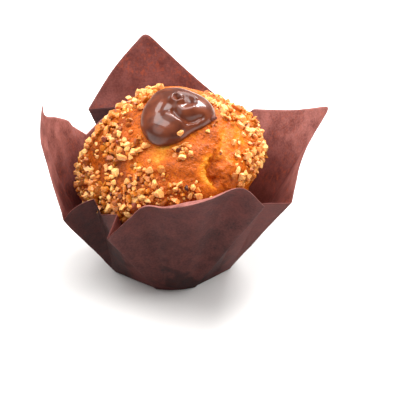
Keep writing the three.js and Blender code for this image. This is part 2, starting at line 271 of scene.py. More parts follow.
@dataclass(frozen=True)
class MuffinForm:
    """Bare form of the muffin: an outline turned round the axis, then leaned and shifted.

    Attributes:
        rim_radius: Widest radius of the dome.
        rim_height: Height of the rim.
        dome_height: Rise of the peak above the rim.
        roundness: Power of the radius in the dome's curve.
        point: Power that makes the dome more pointed than an ellipse.
        lean: Rise of the right rim over the middle.
        apex_shift: How far the peak stands to the left.
        waist_radius: Radius under the rim.
        waist_height: Height of the waist.
        foot_radius: Radius of the flat foot.
        foot_height: Height of the foot over the paper.
        bulge: How far the wall swells past a straight taper.
        lean_start: Height from which the form leans.
        lean_loss: Share of the lean that is lost on the way up the dome.
        plan_limit: Largest radius in plan coordinates, reached on the wall.
        steps: Points on each of the outline's four stretches.
    """

    rim_radius: float = 37.0
    rim_height: float = 46.5
    dome_height: float = 30.5
    roundness: float = 1.75
    point: float = 1.5
    lean: float = 8.0
    apex_shift: float = -3.5
    waist_radius: float = 34.0
    waist_height: float = 36.5
    foot_radius: float = 21.8
    foot_height: float = 1.0
    bulge: float = 1.0
    lean_start: float = 8.0
    lean_loss: float = 0.35
    plan_limit: float = 1.4
    steps: int = 900

    @cached_property
    def outline(self) -> tuple[Array, Array, Array]:
        """Trace the outline from the peak over the rim, down the wall and in to the middle of the foot.

        Returns:
            Share of the outline's length, radius and height at each of its points. The dome rises over the
            rim by dome_height * (1 - (r / rim_radius)^roundness)^(1 / point), a quarter ellipse runs from the
            rim to the waist, and the wall is a straight taper with half a sine added.
        """
        t = np.linspace(0.0, 1.0, self.steps)
        sine, cosine = np.sin(t * np.pi / 2), np.cos(t * np.pi / 2)
        dome_r = self.rim_radius * sine
        reach = np.clip(1.0 - (dome_r / self.rim_radius) ** self.roundness, 0.0, 1.0)
        dome_z = self.rim_height + self.dome_height * reach ** (1.0 / self.point)
        under_r = self.rim_radius - (self.rim_radius - self.waist_radius) * (1.0 - cosine)
        under_z = self.rim_height - (self.rim_height - self.waist_height) * sine
        swell = self.bulge * np.sin(np.pi * t)
        wall_r = self.waist_radius + (self.foot_radius - self.waist_radius) * t + swell
        wall_z = self.waist_height + (self.foot_height - self.waist_height) * t
        radius = np.concatenate([dome_r, under_r[1:], wall_r[1:], self.foot_radius * (1.0 - t[1:])])
        height = np.concatenate([dome_z, under_z[1:], wall_z[1:], np.full(len(t) - 1, self.foot_height)])
        length = np.concatenate([[0.0], np.cumsum(np.hypot(np.diff(radius), np.diff(height)))])
        return length / length[-1], radius, height

    @property
    def rim_share(self) -> float:
        """Share of the outline at the rim."""
        return float(self.outline[0][self.steps - 1])

    @property
    def foot_share(self) -> float:
        """Share of the outline at the edge of the foot."""
        return float(self.outline[0][3 * (self.steps - 1)])

    def bare(self, angle: Array, share: Array) -> Array:
        """Place points on the bare form.

        Args:
            angle: Angle round the axis in radians.
            share: Share of the outline from the peak.

        Returns:
            Points in millimetres: the outline turned round the axis, shifted by its share of the dome's
            height and raised in proportion to x.
        """
        lengths, radii, heights = self.outline
        radius = np.interp(share, lengths, radii)
        height = np.interp(share, lengths, heights)
        above = np.clip(height - self.rim_height, 0.0, None) / self.dome_height
        x = radius * np.cos(angle) + self.apex_shift * above
        low = smoothstep(height, self.lean_start, self.rim_height)
        weight = np.where(above > 0.0, 1.0 - self.lean_loss * above, low)
        z = height + self.lean * x * weight / self.rim_radius
        return np.stack([x, radius * np.sin(angle), z], axis=-1)

    def normal(self, angle: Array, share: Array) -> Array:
        """Find the outward direction.

        Args:
            angle: Angle round the axis in radians.
            share: Share of the outline from the peak.

        Returns:
            Unit cross product of the differences between neighbouring points of the bare form, down and round.
        """
        step = 0.004
        around = self.bare(angle + step, share) - self.bare(angle - step, share)
        return unit(np.cross(self.bare(angle, share + step) - self.bare(angle, share - step), around))

    def plan(self, angle: Array, share: Array) -> Array:
        """Give plan coordinates: 0 at the peak and 1 at the rim."""
        reach = np.minimum(share / self.rim_share, self.plan_limit)
        return np.stack([reach * np.cos(angle), reach * np.sin(angle)], axis=-1)

    def from_plan(self, plan: Array) -> tuple[Array, Array]:
        """Turn plan coordinates into angle and share."""
        x, y = np.moveaxis(plan, -1, 0)
        return np.arctan2(y, x), np.hypot(x, y) * self.rim_share


@dataclass(frozen=True)
class Stroke:
    """A soft stroke along a smooth line in plan coordinates of the dome.

    Attributes:
        places: Plan coordinates that the line runs through; one place gives a round spot.
        width: Distance from the line at which the stroke has faded to a third.
        amount: Strength on the line.
    """

    places: tuple[tuple[float, float], ...]
    width: float
    amount: float = 1.0

    @cached_property
    def line(self) -> Array:
        """Points along the line."""
        places = np.array(self.places)
        return spline(places, LINE_STEPS) if len(places) > 1 else places

    def nearest(self, plan: Array) -> tuple[Array, Array]:
        """Find the nearest point of the line.

        Args:
            plan: Plan coordinates.

        Returns:
            Distance to the nearest point of the line, and the number of that point.
        """
        best = np.full(plan.shape[:-1], np.inf)
        pick = np.zeros(plan.shape[:-1], dtype=int)
        for k, place in enumerate(self.line):
            gap = np.hypot(plan[..., 0] - place[0], plan[..., 1] - place[1])
            pick = np.where(gap < best, k, pick)
            best = np.minimum(best, gap)
        return best, pick

    def side(self, plan: Array) -> tuple[Array, Array]:
        """Measure to the line with a sign.

        Args:
            plan: Plan coordinates.

        Returns:
            Distance, positive to the left of the line's run, and the share of the way along it.
        """
        best, pick = self.nearest(plan)
        run = np.gradient(self.line, axis=0)[pick]
        away = plan - self.line[pick]
        sign = np.where(run[..., 0] * away[..., 1] - run[..., 1] * away[..., 0] > 0.0, 1.0, -1.0)
        return sign * best, pick / (len(self.line) - 1)

    def at(self, plan: Array) -> Array:
        """Give the stroke's strength at plan coordinates."""
        return self.amount * bell(self.nearest(plan)[0], self.width)


def total(strokes: tuple[Stroke, ...], plan: Array) -> Array:
    """Sum the strengths of strokes at plan coordinates."""
    return sum(stroke.at(plan) for stroke in strokes)


@dataclass(frozen=True)
class CrustRelief:
    """Relief and baking of the muffin's surface.

    Attributes:
        form: The bare form underneath.
        crack: Crack down the front right, with the width of its crumbly left side and its depth in millimetres.
        shallow: Width of its browned right side.
        shaded_flank: Distance to the right of the crack and width of its flank, browned as painted shade.
        crumb: Width of the pale crumb on the right, then distance and width on the left.
        block_rise: Height of the block of crust to the right of the crack.
        pale: Strokes where crumb stayed pale and smooth.
        brown: Strokes where crust browned most; the broad one down the left also holds painted shade among the
            nuts.
        folds: Strokes where the crust is pushed up or down, with heights in millimetres.
        lumps: Size and height of the lumps that cream and nuts lie on.
        knobs: Size and height of the smaller lumps.
        wrinkles: Size and height of the wrinkles.
        clouds: Size and strength of the browning's own pattern.
        ragged: Size of the wobble of all strokes, and its reach in plan coordinates.
        frayed: The same for the crack's sides.
        plain_bake: Browning of plain crust.
        wall_bake: Browning of the wall under the rim.
        seeds: Starts of the draws for the lumps and for the crumb.
    """

    form: MuffinForm
    crack: Stroke = Stroke(
        ((0.48, -0.26), (0.51, -0.36), (0.5, -0.48), (0.4, -0.64), (0.39, -0.73), (0.52, -0.84)), 0.016, 3.2
    )
    shallow: float = 0.07
    shaded_flank: tuple[float, float] = (0.03, 0.04)
    crumb: Triple = (0.022, 0.03, 0.045)
    block_rise: float = 1.3
    pale: tuple[Stroke, ...] = (
        Stroke(((0.0, -0.53), (-0.06, -0.6)), 0.07, 0.4),
        Stroke(((-0.15, -0.38), (-0.3, -0.31)), 0.06, 0.12),
        Stroke(((0.5, -0.28), (0.53, -0.42), (0.52, -0.54), (0.66, -0.55)), 0.045, 0.25),
        Stroke(((-0.26, -0.6), (-0.3, -0.62)), 0.05, 0.22),
        Stroke(((0.62, -0.12), (0.68, -0.3)), 0.08, 0.2),
        Stroke(((0.08, 0.3), (0.3, 0.3)), 0.1, 0.1),
    )
    brown: tuple[Stroke, ...] = (
        Stroke(((0.16, -0.68), (0.3, -0.6), (0.4, -0.42)), 0.1, 0.12),
        Stroke(((-0.45, -0.55), (-0.38, -0.66), (-0.3, -0.8)), 0.06, 0.15),
        Stroke(((0.55, -0.1), (0.58, -0.2)), 0.04, 0.2),
        Stroke(((0.7, -0.6), (0.68, -0.72)), 0.045, 0.2),
        # Broad browning down the left, strengthened also as painted shade among the nuts.
        Stroke(((-0.5, -0.05), (-0.62, -0.35), (-0.48, -0.6)), 0.2, 0.22),
        Stroke(((-0.16, -0.26), (-0.3, -0.36)), 0.12, 0.12),
        Stroke(((-0.33, -0.14), (-0.2, -0.08)), 0.05, 0.2),
        Stroke(((-0.3, -0.42), (-0.45, -0.5), (-0.62, -0.45)), 0.06, 0.12),
    )
    folds: tuple[Stroke, ...] = (
        Stroke(((0.2, -0.62), (0.34, -0.52), (0.42, -0.36)), 0.08, 0.9),
        Stroke(((0.02, -0.68), (0.14, -0.7), (0.28, -0.74)), 0.05, 0.6),
        Stroke(((-0.12, -0.47), (-0.02, -0.6), (0.1, -0.6)), 0.05, -0.7),
        Stroke(((-0.14, -0.4), (-0.3, -0.36)), 0.045, -0.5),
        Stroke(((-0.35, -0.46), (-0.2, -0.58), (-0.25, -0.66)), 0.05, 0.6),
        Stroke(((0.5, -0.6), (0.58, -0.58), (0.7, -0.6)), 0.025, -0.5),
    )
    lumps: tuple[float, float] = (12.0, 1.2)
    knobs: tuple[float, float] = (6.5, 0.45)
    wrinkles: tuple[float, float] = (2.4, 0.25)
    clouds: tuple[float, float] = (7.0, 0.12)
    ragged: tuple[float, float] = (2.5, 0.012)
    frayed: tuple[float, float] = (1.3, 0.02)
    plain_bake: float = 0.63
    wall_bake: float = 0.35
    seeds: tuple[int, int] = (11, 12)

    @cached_property
    def lumpy(self) -> LatticeNoise:
        """Noise of the lumps."""
        return LatticeNoise(self.seeds[0])

    @cached_property
    def crumbly(self) -> LatticeNoise:
        """Noise of the wrinkles and of the crack's ragged sides."""
        return LatticeNoise(self.seeds[1])

    def coarse(self, angle: Array, share: Array) -> Array:
        """Give the lumps of a centimetre or so, which cream and nuts lie on."""
        size, height = self.lumps
        return height * self.lumpy(self.form.bare(angle, share), size)

    def split(self, plan: Array, points: Array) -> tuple[Array, Array, Array, Array]:
        """Shape the crack and what it lays open.

        Args:
            plan: Plan coordinates.
            points: The same places on the bare form.

        Returns:
            Strengths from 0 to 1 of the groove, steep on its left side and shallow on its right, of the
            raised block beyond it, of the flank between them, browned as painted shade, and of the pale crumb
            in the groove. Each is a bell or a step of the distance to the crack, times steps along it and
            across the dome.
        """
        gap, along = self.crack.side(plan)
        gap = gap + self.frayed[1] * self.crumbly(points + 60.0, self.frayed[0])
        ends = smoothstep(0.5 - np.abs(along - 0.5), 0.0, 0.12)
        low = smoothstep(-plan[..., 1], 0.52, 0.62)
        right = gap > 0.0
        sides = np.where(right, bell(gap, self.shallow), bell(gap, self.crack.width))
        groove = ends * sides * (0.3 + 0.7 * low)
        block = low * smoothstep(gap, 0.03, 0.14) * (1.0 - smoothstep(plan[..., 0], 0.62, 0.85))
        shaded_flank = ends * low * np.where(right, bell(gap - self.shaded_flank[0], self.shaded_flank[1]), 0.0)
        beside = bell(gap + self.crumb[1], self.crumb[2])
        crumb = ends * low * np.where(right, bell(gap, self.crumb[0]), beside)
        return groove, block, shaded_flank, crumb

    def at(self, angle: Array, share: Array) -> tuple[Array, Array]:
        """Work out relief and browning.

        Args:
            angle: Angle round the axis in radians.
            share: Share of the outline from the peak.

        Returns:
            Height of the relief in millimetres and browning from 0 to 1. Both are sums of noises, strokes and
            the parts of the crack. The crust wrinkles least where it stayed pale, the wall under the rim is
            evenly pale, and the relief fades out toward the foot.
        """
        points, plan = self.form.bare(angle, share), self.form.plan(angle, share)
        size, reach = self.ragged
        plan = plan + np.stack([self.crumbly(points + shift, size) for shift in (0.0, 30.0)], axis=-1) * reach
        groove, block, shaded_flank, crumb = self.split(plan, points)
        knobs = self.knobs[1] * self.lumpy(points + 40.0, self.knobs[0])
        wrinkles = 1.0 - 2.0 * np.abs(self.crumbly.octaves(points, self.wrinkles[0], 3))
        clouds = self.clouds[1] * self.lumpy.octaves(points + 80.0, self.clouds[0], 3)
        # The flank beside the crack is browned as painted shade.
        browned = total(self.brown, plan) + 0.05 * block + 0.2 * shaded_flank
        paled = total(self.pale, plan) + 0.4 * crumb
        folded = total(self.folds, plan)
        relief = knobs + self.wrinkles[1] * wrinkles * (1.0 - 0.7 * np.clip(paled * 2.0, 0.0, 1.0)) + folded
        relief = relief - self.crack.amount * groove + self.block_rise * block
        baked = self.plain_bake + 0.1 * knobs + 0.1 * wrinkles + clouds
        baked = baked + browned - paled + 0.06 * folded
        below = smoothstep(share, self.form.rim_share * 1.05, self.form.rim_share * 1.4)
        baked = baked * (1.0 - below) + self.wall_bake * below
        fade = smoothstep(self.form.foot_share - share, 0.02, 0.2)
        return (relief + self.coarse(angle, share)) * fade, np.clip(baked, 0.0, 1.0)

    def surface(self, angle: Array, share: Array, lift: Array) -> Array:
        """Place points at a lift above the baked surface."""
        relief = self.at(angle, share)[0]
        return self.form.bare(angle, share) + (relief + lift)[..., None] * self.form.normal(angle, share)


@dataclass(frozen=True)
class MuffinBody:
    """Crust and crumb of the muffin.

    Attributes:
        relief: Form and relief of its surface.
        columns: Columns round the axis.
        rows: Rows from the peak to the middle of the foot.
        dome_rows: Share of the rows that lie above the bend.
        bend: Share of the outline at which the rows come to lie further apart.
    """

    relief: CrustRelief
    columns: int = 456
    rows: int = 216
    dome_rows: float = 0.9
    bend: float = 0.62

    def build(self, material: bpy.types.Material) -> bpy.types.Object:
        """Build the body as one closed object, whose points are the bare form plus relief along its normals.

        Args:
            material: Its material.

        Returns:
            The body.
        """
        spread = np.linspace(0.0, 1.0, self.rows + 2)[1:-1]
        share = np.interp(spread, [0.0, self.dome_rows, 1.0], [0.0, self.bend, 1.0])
        angle, share = polar_grid(self.columns, share)
        height, bake = self.relief.at(angle, share)
        form = self.relief.form
        rings = form.bare(angle, share) + height[..., None] * form.normal(angle, share)
        return closed_surface(rings, {"bake": bake}).build("muffin_body", material)


@dataclass(frozen=True)
class CreamPat:
    """Spoonful of cream on the dome.

    Attributes:
        relief: The crust it lies on.
        centre: Plan coordinates of its middle.
        reach: Plan radius of its outline at equal steps of angle, from the right and counter-clockwise.
        thickness: Thickness at its middle.
        folds: Swells, folds and the curl that the spoon left, with heights in millimetres.
        squareness: Power that makes the pat's edge steep.
        plain_edge: Width of the band inside the outline, as a share of it, where the folds fade out.
        edge_rise: Height of the top's edge over the underside.
        sunk: Depth of the underside in the crust.
        tucked: Plan radius of the underside, as a share of the outline.
        top_rows: Share of the rows that lie on the top.
        columns: Columns round the pat.
        rows: Rows from the middle of the top to the middle of the underside.
    """

    relief: CrustRelief
    centre: tuple[float, float] = (0.13, -0.19)
    reach: tuple[float, ...] = (0.31, 0.305, 0.28, 0.31, 0.31, 0.272, 0.29, 0.335, 0.358, 0.3, 0.243, 0.262)
    thickness: float = 4.1
    folds: tuple[Stroke, ...] = (
        Stroke(((-0.02, -0.38),), 0.17, 0.7),
        Stroke(((-0.01, -0.41),), 0.14, 0.5),
        Stroke(((0.31, -0.2),), 0.11, 1.0),
        Stroke(((0.13, -0.245), (0.18, -0.262), (0.23, -0.245)), 0.034, 1.0),
        Stroke(((0.1, -0.265), (0.13, -0.31), (0.18, -0.33), (0.24, -0.32), (0.31, -0.285)), 0.021, -1.3),
        Stroke(((0.05, -0.305), (0.12, -0.35), (0.165, -0.385)), 0.028, 1.0),
        Stroke(((0.18, -0.38), (0.215, -0.345), (0.27, -0.33)), 0.018, -0.6),
        Stroke(((0.12, -0.165),), 0.055, 1.3),
        Stroke(
            ((0.155, -0.15), (0.13, -0.115), (0.09, -0.13), (0.085, -0.18), (0.12, -0.21), (0.155, -0.19)),
            0.018,
            1.5,
        ),
        Stroke(((0.132, -0.158),), 0.016, -1.6),
        Stroke(((0.175, -0.135), (0.21, -0.165)), 0.03, -1.2),
        Stroke(((0.13, -0.065), (0.19, -0.08), (0.225, -0.11), (0.245, -0.14)), 0.022, 1.0),
        Stroke(((0.02, -0.04), (0.03, -0.16), (0.0, -0.25)), 0.02, -0.3),
    )
    squareness: float = 3.2
    plain_edge: float = 0.22
    edge_rise: float = 0.5
    sunk: float = 0.2
    tucked: float = 0.985
    top_rows: float = 0.72
    columns: int = 320
    rows: int = 170

    def outline(self, angle: Array) -> Array:
        """Run a smooth curve through the outline's radii.

        Args:
            angle: Angles round the middle in radians.

        Returns:
            Plan radius at each angle, cubic between the steps.
        """
        place = np.mod(angle / FULL_TURN, 1.0) * len(self.reach)
        first = np.floor(place).astype(int)
        t = place - first
        a, b, c, d = (np.array(self.reach)[(first + k) % len(self.reach)] for k in (-1, 0, 1, 2))
        return b + 0.5 * t * (c - a + t * (2.0 * a - 5.0 * b + 4.0 * c - d + t * (3.0 * (b - c) + d - a)))

    def cover(self, plan: Array) -> Array:
        """Give the share of the way from the middle of the pat to its outline, 1 on it and more outside."""
        away = plan - np.array(self.centre)
        return np.hypot(away[..., 0], away[..., 1]) / self.outline(np.arctan2(away[..., 1], away[..., 0]))

    def height(self, plan: Array, fraction: Array) -> Array:
        """Raise the cream over the crust.

        Args:
            plan: Plan coordinates.
            fraction: Share of the way from the middle to the outline.

        Returns:
            Height in millimetres: thickness * sqrt(1 - fraction^squareness), with its steep round edge, plus
            folds that fade out toward that edge.
        """
        pat = self.thickness * np.sqrt(np.clip(1.0 - fraction**self.squareness, 0.0, 1.0))
        return pat + smoothstep(1.0 - fraction, 0.0, self.plain_edge) * total(self.folds, plan)

    def build(self, material: bpy.types.Material) -> bpy.types.Object:
        """Build the pat from the middle of its top, round its edge and back under it.

        Args:
            material: Its material.

        Returns:
            The cream as one closed object. Its rows gather toward the edge as a sine does, and it lies on the
            coarse lumps of the crust.
        """
        angle, share = polar_grid(self.columns, np.linspace(0.003, 0.997, self.rows))
        top = share < self.top_rows
        over = np.sin(share / self.top_rows * np.pi / 2)
        under = self.tucked * np.sin((1.0 - share) / (1.0 - self.top_rows) * np.pi / 2)
        fraction = np.where(top, over, under)
        spread = (self.outline(angle) * fraction)[..., None]
        plan = np.array(self.centre) + spread * np.stack([np.cos(angle), np.sin(angle)], axis=-1)
        lift = np.where(top, self.height(plan, fraction) + self.edge_rise, 0.0) - self.sunk
        form = self.relief.form
        place = form.from_plan(plan)
        rings = form.bare(*place) + (self.relief.coarse(*place) + lift)[..., None] * form.normal(*place)
        return closed_surface(rings, {}).build("cream_pat", material)


class NutKind(Enum):
    """Kinds of chopped nut, with the share of the scattered pieces that each has."""

    KERNEL = ("nut_kernels", 0.58)
    TOASTED = ("nut_toasted", 0.385)
    SKIN = ("nut_skins", 0.035)

    @property
    def label(self) -> str:
        """Name of the kind's object."""
        return self.value[0]

    @property
    def share(self) -> float:
        """Share of the scattered pieces."""
        return self.value[1]


@dataclass(frozen=True)
class ChoppedNuts:
    """Chopped nuts scattered over the crust.

    Attributes:
        relief: The crust they are baked onto.
        cream: The cream, which no nut reaches into.
        drifts: Strokes along which nuts lie close together.
        bare: Strokes that nuts have fallen off.
        singles: Pieces that lie alone: plan coordinates, size and lift in millimetres, and kind.
        draws: Number of places drawn.
        stray: Likelihood of a stray piece anywhere, and what the back of the rim and the back add to it.
        smallest: Size of the smallest piece.
        spread: Difference between the largest and the smallest size.
        skew: Shape of the beta distribution that the sizes follow, mostly small.
        perch: Highest that a centre lies over the crust, as a share of the piece's size.
        spacing: Closest that two centres may lie, as a share of their two sizes together.
        large: Size above which no scattered piece is a bit of skin, and the end of the draw for its kind.
        crease: Angle in degrees above which an edge of a piece is sharp.
        seed: Start of the random draw.
    """

    relief: CrustRelief
    cream: CreamPat
    drifts: tuple[Stroke, ...] = (
        Stroke(((-0.05, 0.2), (-0.2, 0.04), (-0.42, 0.0), (-0.62, 0.02), (-0.85, 0.1)), 0.075),
        Stroke(((-0.42, -0.2), (-0.47, -0.28), (-0.43, -0.38), (-0.34, -0.42)), 0.075),
        Stroke(((-0.34, -0.46), (-0.26, -0.47), (-0.2, -0.44)), 0.055),
        Stroke(((-0.8, -0.2), (-0.77, -0.4), (-0.7, -0.58), (-0.52, -0.62), (-0.5, -0.5)), 0.062),
        Stroke(((-0.98, -0.05), (-0.97, -0.35), (-0.85, -0.6), (-0.6, -0.8)), 0.075),
        Stroke(((-0.52, -0.78), (-0.38, -0.77), (-0.25, -0.86), (-0.1, -0.86), (0.0, -0.93)), 0.06),
        Stroke(((0.0, -0.94), (0.1, -0.85), (0.2, -0.9), (0.27, -0.9)), 0.05),
        Stroke(((-0.32, -0.7), (-0.2, -0.68), (-0.15, -0.77)), 0.045),
        Stroke(((-0.02, -0.7), (-0.01, -0.76)), 0.028),
        Stroke(((0.11, -0.56), (0.15, -0.53), (0.21, -0.53), (0.2, -0.59), (0.15, -0.6)), 0.04),
        Stroke(((0.36, 0.06), (0.5, 0.02), (0.56, -0.06)), 0.055),
        Stroke(((0.6, 0.03), (0.75, -0.04), (0.95, -0.03)), 0.075),
        Stroke(((0.98, -0.02), (0.9, -0.3), (0.8, -0.44), (0.92, -0.52)), 0.065),
        Stroke(((0.98, -0.35), (0.93, -0.58), (0.79, -0.67)), 0.065),
        Stroke(((-0.62, -0.8), (-0.5, -0.92), (-0.38, -0.98)), 0.08),
    )
    bare: tuple[Stroke, ...] = (
        Stroke(((0.15, -0.65), (0.45, -0.7), (0.6, -0.85)), 0.16),
        Stroke(((0.35, -0.5), (0.6, -0.25)), 0.14),
        Stroke(((-0.05, -0.6), (-0.2, -0.35)), 0.12),
        Stroke(((0.0, 0.33), (0.15, 0.34), (0.3, 0.26)), 0.16, 1.5),
    )
    singles: tuple[tuple[float, float, float, float, NutKind], ...] = (
        (0.15, -0.44, 3.6, 3.4, NutKind.KERNEL),
        (0.66, -0.47, 3.2, 0.7, NutKind.KERNEL),
        (-0.43, -0.02, 3.4, 1.0, NutKind.KERNEL),
        (-0.21, -0.36, 1.6, 0.4, NutKind.KERNEL),
        (-0.49, -0.25, 3.1, 1.8, NutKind.SKIN),
        (-0.37, -0.36, 1.8, 1.8, NutKind.SKIN),
        (-0.53, -0.71, 2.0, 1.6, NutKind.SKIN),
        (-0.51, -0.42, 1.5, 1.2, NutKind.SKIN),
        (-0.32, -0.68, 1.4, 1.2, NutKind.SKIN),
        (-0.32, -0.89, 2.5, 1.2, NutKind.SKIN),
        (0.19, -0.86, 2.1, 1.4, NutKind.SKIN),
        (0.13, -0.56, 1.9, 1.0, NutKind.SKIN),
        (0.84, -0.31, 2.1, 1.0, NutKind.SKIN),
        (0.51, -0.53, 0.9, 0.2, NutKind.SKIN),
        (0.405, -0.25, 2.6, 1.9, NutKind.SKIN),
        (0.455, -0.235, 1.3, 0.6, NutKind.TOASTED),
        (0.445, -0.28, 1.2, 0.4, NutKind.KERNEL),
        (0.41, -0.3, 1.1, 0.4, NutKind.TOASTED),
        (-0.26, -0.18, 2.1, 0.5, NutKind.TOASTED),
        (0.54, -0.13, 2.2, 0.4, NutKind.TOASTED),
    )
    draws: int = 26000
    stray: Triple = (0.03, 0.5, 0.4)
    smallest: float = 0.8
    spread: float = 2.9
    skew: tuple[float, float] = (1.15, 2.0)
    perch: float = 0.35
    spacing: float = 0.34
    large: tuple[float, float] = (1.7, 0.96)
    crease: float = 18.0
    seed: int = 71

    def density(self, plan: Array) -> Array:
        """Find how likely a nut is to lie at a place.

        Args:
            plan: Plan coordinates.

        Returns:
            Likelihood from 0 to 1: the drifts, or where it is greater a loose band round the rim and the back
            less the bare strokes.
        """
        reach = np.hypot(plan[..., 0], plan[..., 1])
        anywhere, rim, back = self.stray
        band = anywhere + rim * smoothstep(reach, 0.65, 0.95) * smoothstep(plan[..., 1], -0.3, 0.2)
        band = band + back * smoothstep(plan[..., 1], 0.3, 0.6)
        bare = np.clip(total(self.bare, plan) * 1.2, 0.0, 1.0)
        thick = smoothstep(total(self.drifts, plan), 0.25, 0.7)
        return np.where(self.cream.cover(plan) < 1.1, 0.0, np.maximum(thick, band * (1.0 - bare)))

    def scatter(self) -> tuple[Array, Array]:
        """Draw the nuts' places, largest first.

        Returns:
            Centres and sizes in millimetres. A place is kept where the density allows it and no larger nut
            lies closer than the spacing.
        """
        random = np.random.default_rng(self.seed)
        angle = random.uniform(0.0, FULL_TURN, self.draws)
        share = self.relief.form.rim_share * np.sqrt(random.uniform(0.01, 1.2, self.draws))
        size = np.sort(self.smallest + self.spread * random.beta(*self.skew, self.draws))[::-1]
        plan = self.relief.form.plan(angle, share)
        allowed = random.uniform(0.0, 1.0, self.draws) < self.density(plan)
        angle, share, size = angle[allowed], share[allowed], size[allowed]
        centres = self.relief.surface(angle, share, size * random.uniform(0.0, self.perch, len(size)))
        kept: list[int] = []
        for k, centre in enumerate(centres):
            near = np.linalg.norm(centres[kept] - centre, axis=-1)
            if np.all(near > self.spacing * (size[kept] + size[k])):
                kept.append(k)
        return centres[kept], size[kept]

    def build(self, finishes: dict[NutKind, bpy.types.Material]) -> list[bpy.types.Object]:
        """Build one object for each kind of nut.

        Args:
            finishes: Material of each kind.

        Returns:
            The objects.
        """
        centres, sizes = self.scatter()
        random = np.random.default_rng(self.seed + 1)
        form = self.relief.form
        alone = np.array([entry[:4] for entry in self.singles])
        place = form.from_plan(alone[:, :2])
        centres = np.concatenate([centres, self.relief.surface(*place, alone[:, 3])])
        sizes = np.append(sizes, alone[:, 2])
        size, end = self.large
        draw = random.uniform(0.0, np.where(sizes > size, end, 1.0))
        limits = np.cumsum([0.0] + [kind.share for kind in NutKind])
        kinds = np.searchsorted(limits, draw, side="right") - 1
        kinds[-len(alone) :] = [list(NutKind).index(entry[4]) for entry in self.singles]
        items = []
        for number, kind in enumerate(NutKind):
            chosen = kinds == number
            draft = NutChunk().draft(centres[chosen], sizes[chosen], random)
            items.append(draft.build(kind.label, finishes[kind], self.crease))
            log.info("%s: %d pieces", kind.label, int(chosen.sum()))
        return items


@dataclass(frozen=True)
class NutChunk:
    """How one piece of nut is chopped from a ball of eighty triangles.

    Attributes:
        corner_reach: Least and greatest distance of the ball's corners from its centre.
        jitter: Spread of the random shift of each corner.
        swell: Least and greatest push of the points between the corners.
        stretch: Least and greatest stretch along each axis.
        cuts: Number of flat cuts.
        cut_depth: Least and greatest distance of a cut from the centre.
        scale: Radius of the ball for a piece of size 1.
    """

    corner_reach: tuple[float, float] = (0.75, 1.15)
    jitter: float = 0.14
    swell: tuple[float, float] = (0.97, 1.06)
    stretch: tuple[float, float] = (0.5, 1.25)
    cuts: int = 5
    cut_depth: tuple[float, float] = (0.28, 0.62)
    scale: float = 0.67

    def ball(self) -> tuple[Array, Array, Array]:
        """Make a ball of twenty triangles, each split in four.

        Returns:
            Its twelve corners at distance 1, the pairs of corners that a further point lies between, and the
            corner indices of the eighty small triangles. The corners are those of three golden rectangles.
        """
        g = (1.0 + 5.0**0.5) / 2.0
        base = np.array([[s, t * g, 0.0] for s in (-1, 1) for t in (-1, 1)])
        points = unit(np.concatenate([np.roll(base, k, axis=1) for k in range(3)]))
        trios = np.array([(i, j, k) for i in range(12) for j in range(i + 1, 12) for k in range(j + 1, 12)])
        corners = points[trios]
        sides = np.linalg.norm(corners - np.roll(corners, 1, axis=1), axis=-1)
        faces = trios[np.all(sides < 1.1, axis=1)]
        inward = np.linalg.det(points[faces]) < 0.0
        faces[inward] = faces[inward][:, ::-1]
        edges = np.sort(faces[:, [[0, 1], [1, 2], [2, 0]]].reshape(-1, 2), axis=1)
        pairs, which = np.unique(edges, axis=0, return_inverse=True)
        middle = which.reshape(-1, 3) + len(points)
        (a, b, c), (ab, bc, ca) = faces.T, middle.T
        split = [np.stack(trio, axis=-1) for trio in ((a, ab, ca), (ab, b, bc), (ca, bc, c), (ab, bc, ca))]
        return points, pairs, np.concatenate(split)

    def draft(self, centres: Array, sizes: Array, random: np.random.Generator) -> MeshDraft:
        """Chop one closed piece for each centre.

        Args:
            centres: Centres in millimetres.
            sizes: Sizes in millimetres.
            random: Source of the draws.

        Returns:
            Balls with their corners pushed about at random, stretched, cut flat by planes (a point past one
            moves back onto it), then turned, scaled and moved to the centres.
        """
        corners, pairs, ball_faces = self.ball()
        count = len(sizes)
        body = corners[None] * random.uniform(*self.corner_reach, (count, len(corners), 1))
        body = body + random.normal(scale=self.jitter, size=body.shape)
        middle = body[:, pairs].mean(axis=2)
        body = np.concatenate([body, middle * random.uniform(*self.swell, (count, len(pairs), 1))], axis=1)
        body = body * random.uniform(*self.stretch, (count, 1, 3))
        planes = unit(random.normal(size=(count, self.cuts, 3)))
        depth = random.uniform(*self.cut_depth, (count, self.cuts))
        for plane, limit in zip(planes.swapaxes(0, 1), depth.T):
            over = np.clip((body * plane[:, None]).sum(-1) - limit[:, None], 0.0, None)
            body = body - over[..., None] * plane[:, None]
        turn = np.linalg.qr(random.normal(size=(count, 3, 3)))[0]
        body = np.einsum("nij,npj->npi", turn * np.sign(np.linalg.det(turn))[:, None, None], body)
        points = centres[:, None] + body * sizes[:, None, None] * self.scale
        faces = ball_faces[None] + np.arange(count)[:, None, None] * body.shape[1]
        tint = np.repeat(random.uniform(0.0, 1.0, count), body.shape[1])
        return MeshDraft(points.reshape(-1, 3), np.zeros((0, 4), int), faces.reshape(-1, 3), {"tint": tint})


@dataclass(frozen=True)
class PetalSide:
    """Raw edge between a petal's tip and the crease beside it.

    Attributes:
        through: Azimuth, radius and height of points that the raw edge runs through.
        bow: How far the wall bows out low down and high up half way along, and slides along itself there.
    """

    through: tuple[Triple, ...]
    bow: Triple


@dataclass(frozen=True)
class Petal:
    """One corner of the sheet, standing up.

    Attributes:
        tip: Azimuth, radius and height of the corner.
        bow: Bow of the wall under the tip.
        before: The clockwise side.
        after: The counter-clockwise side.
    """

    tip: Triple
    bow: Triple
    before: PetalSide
    after: PetalSide


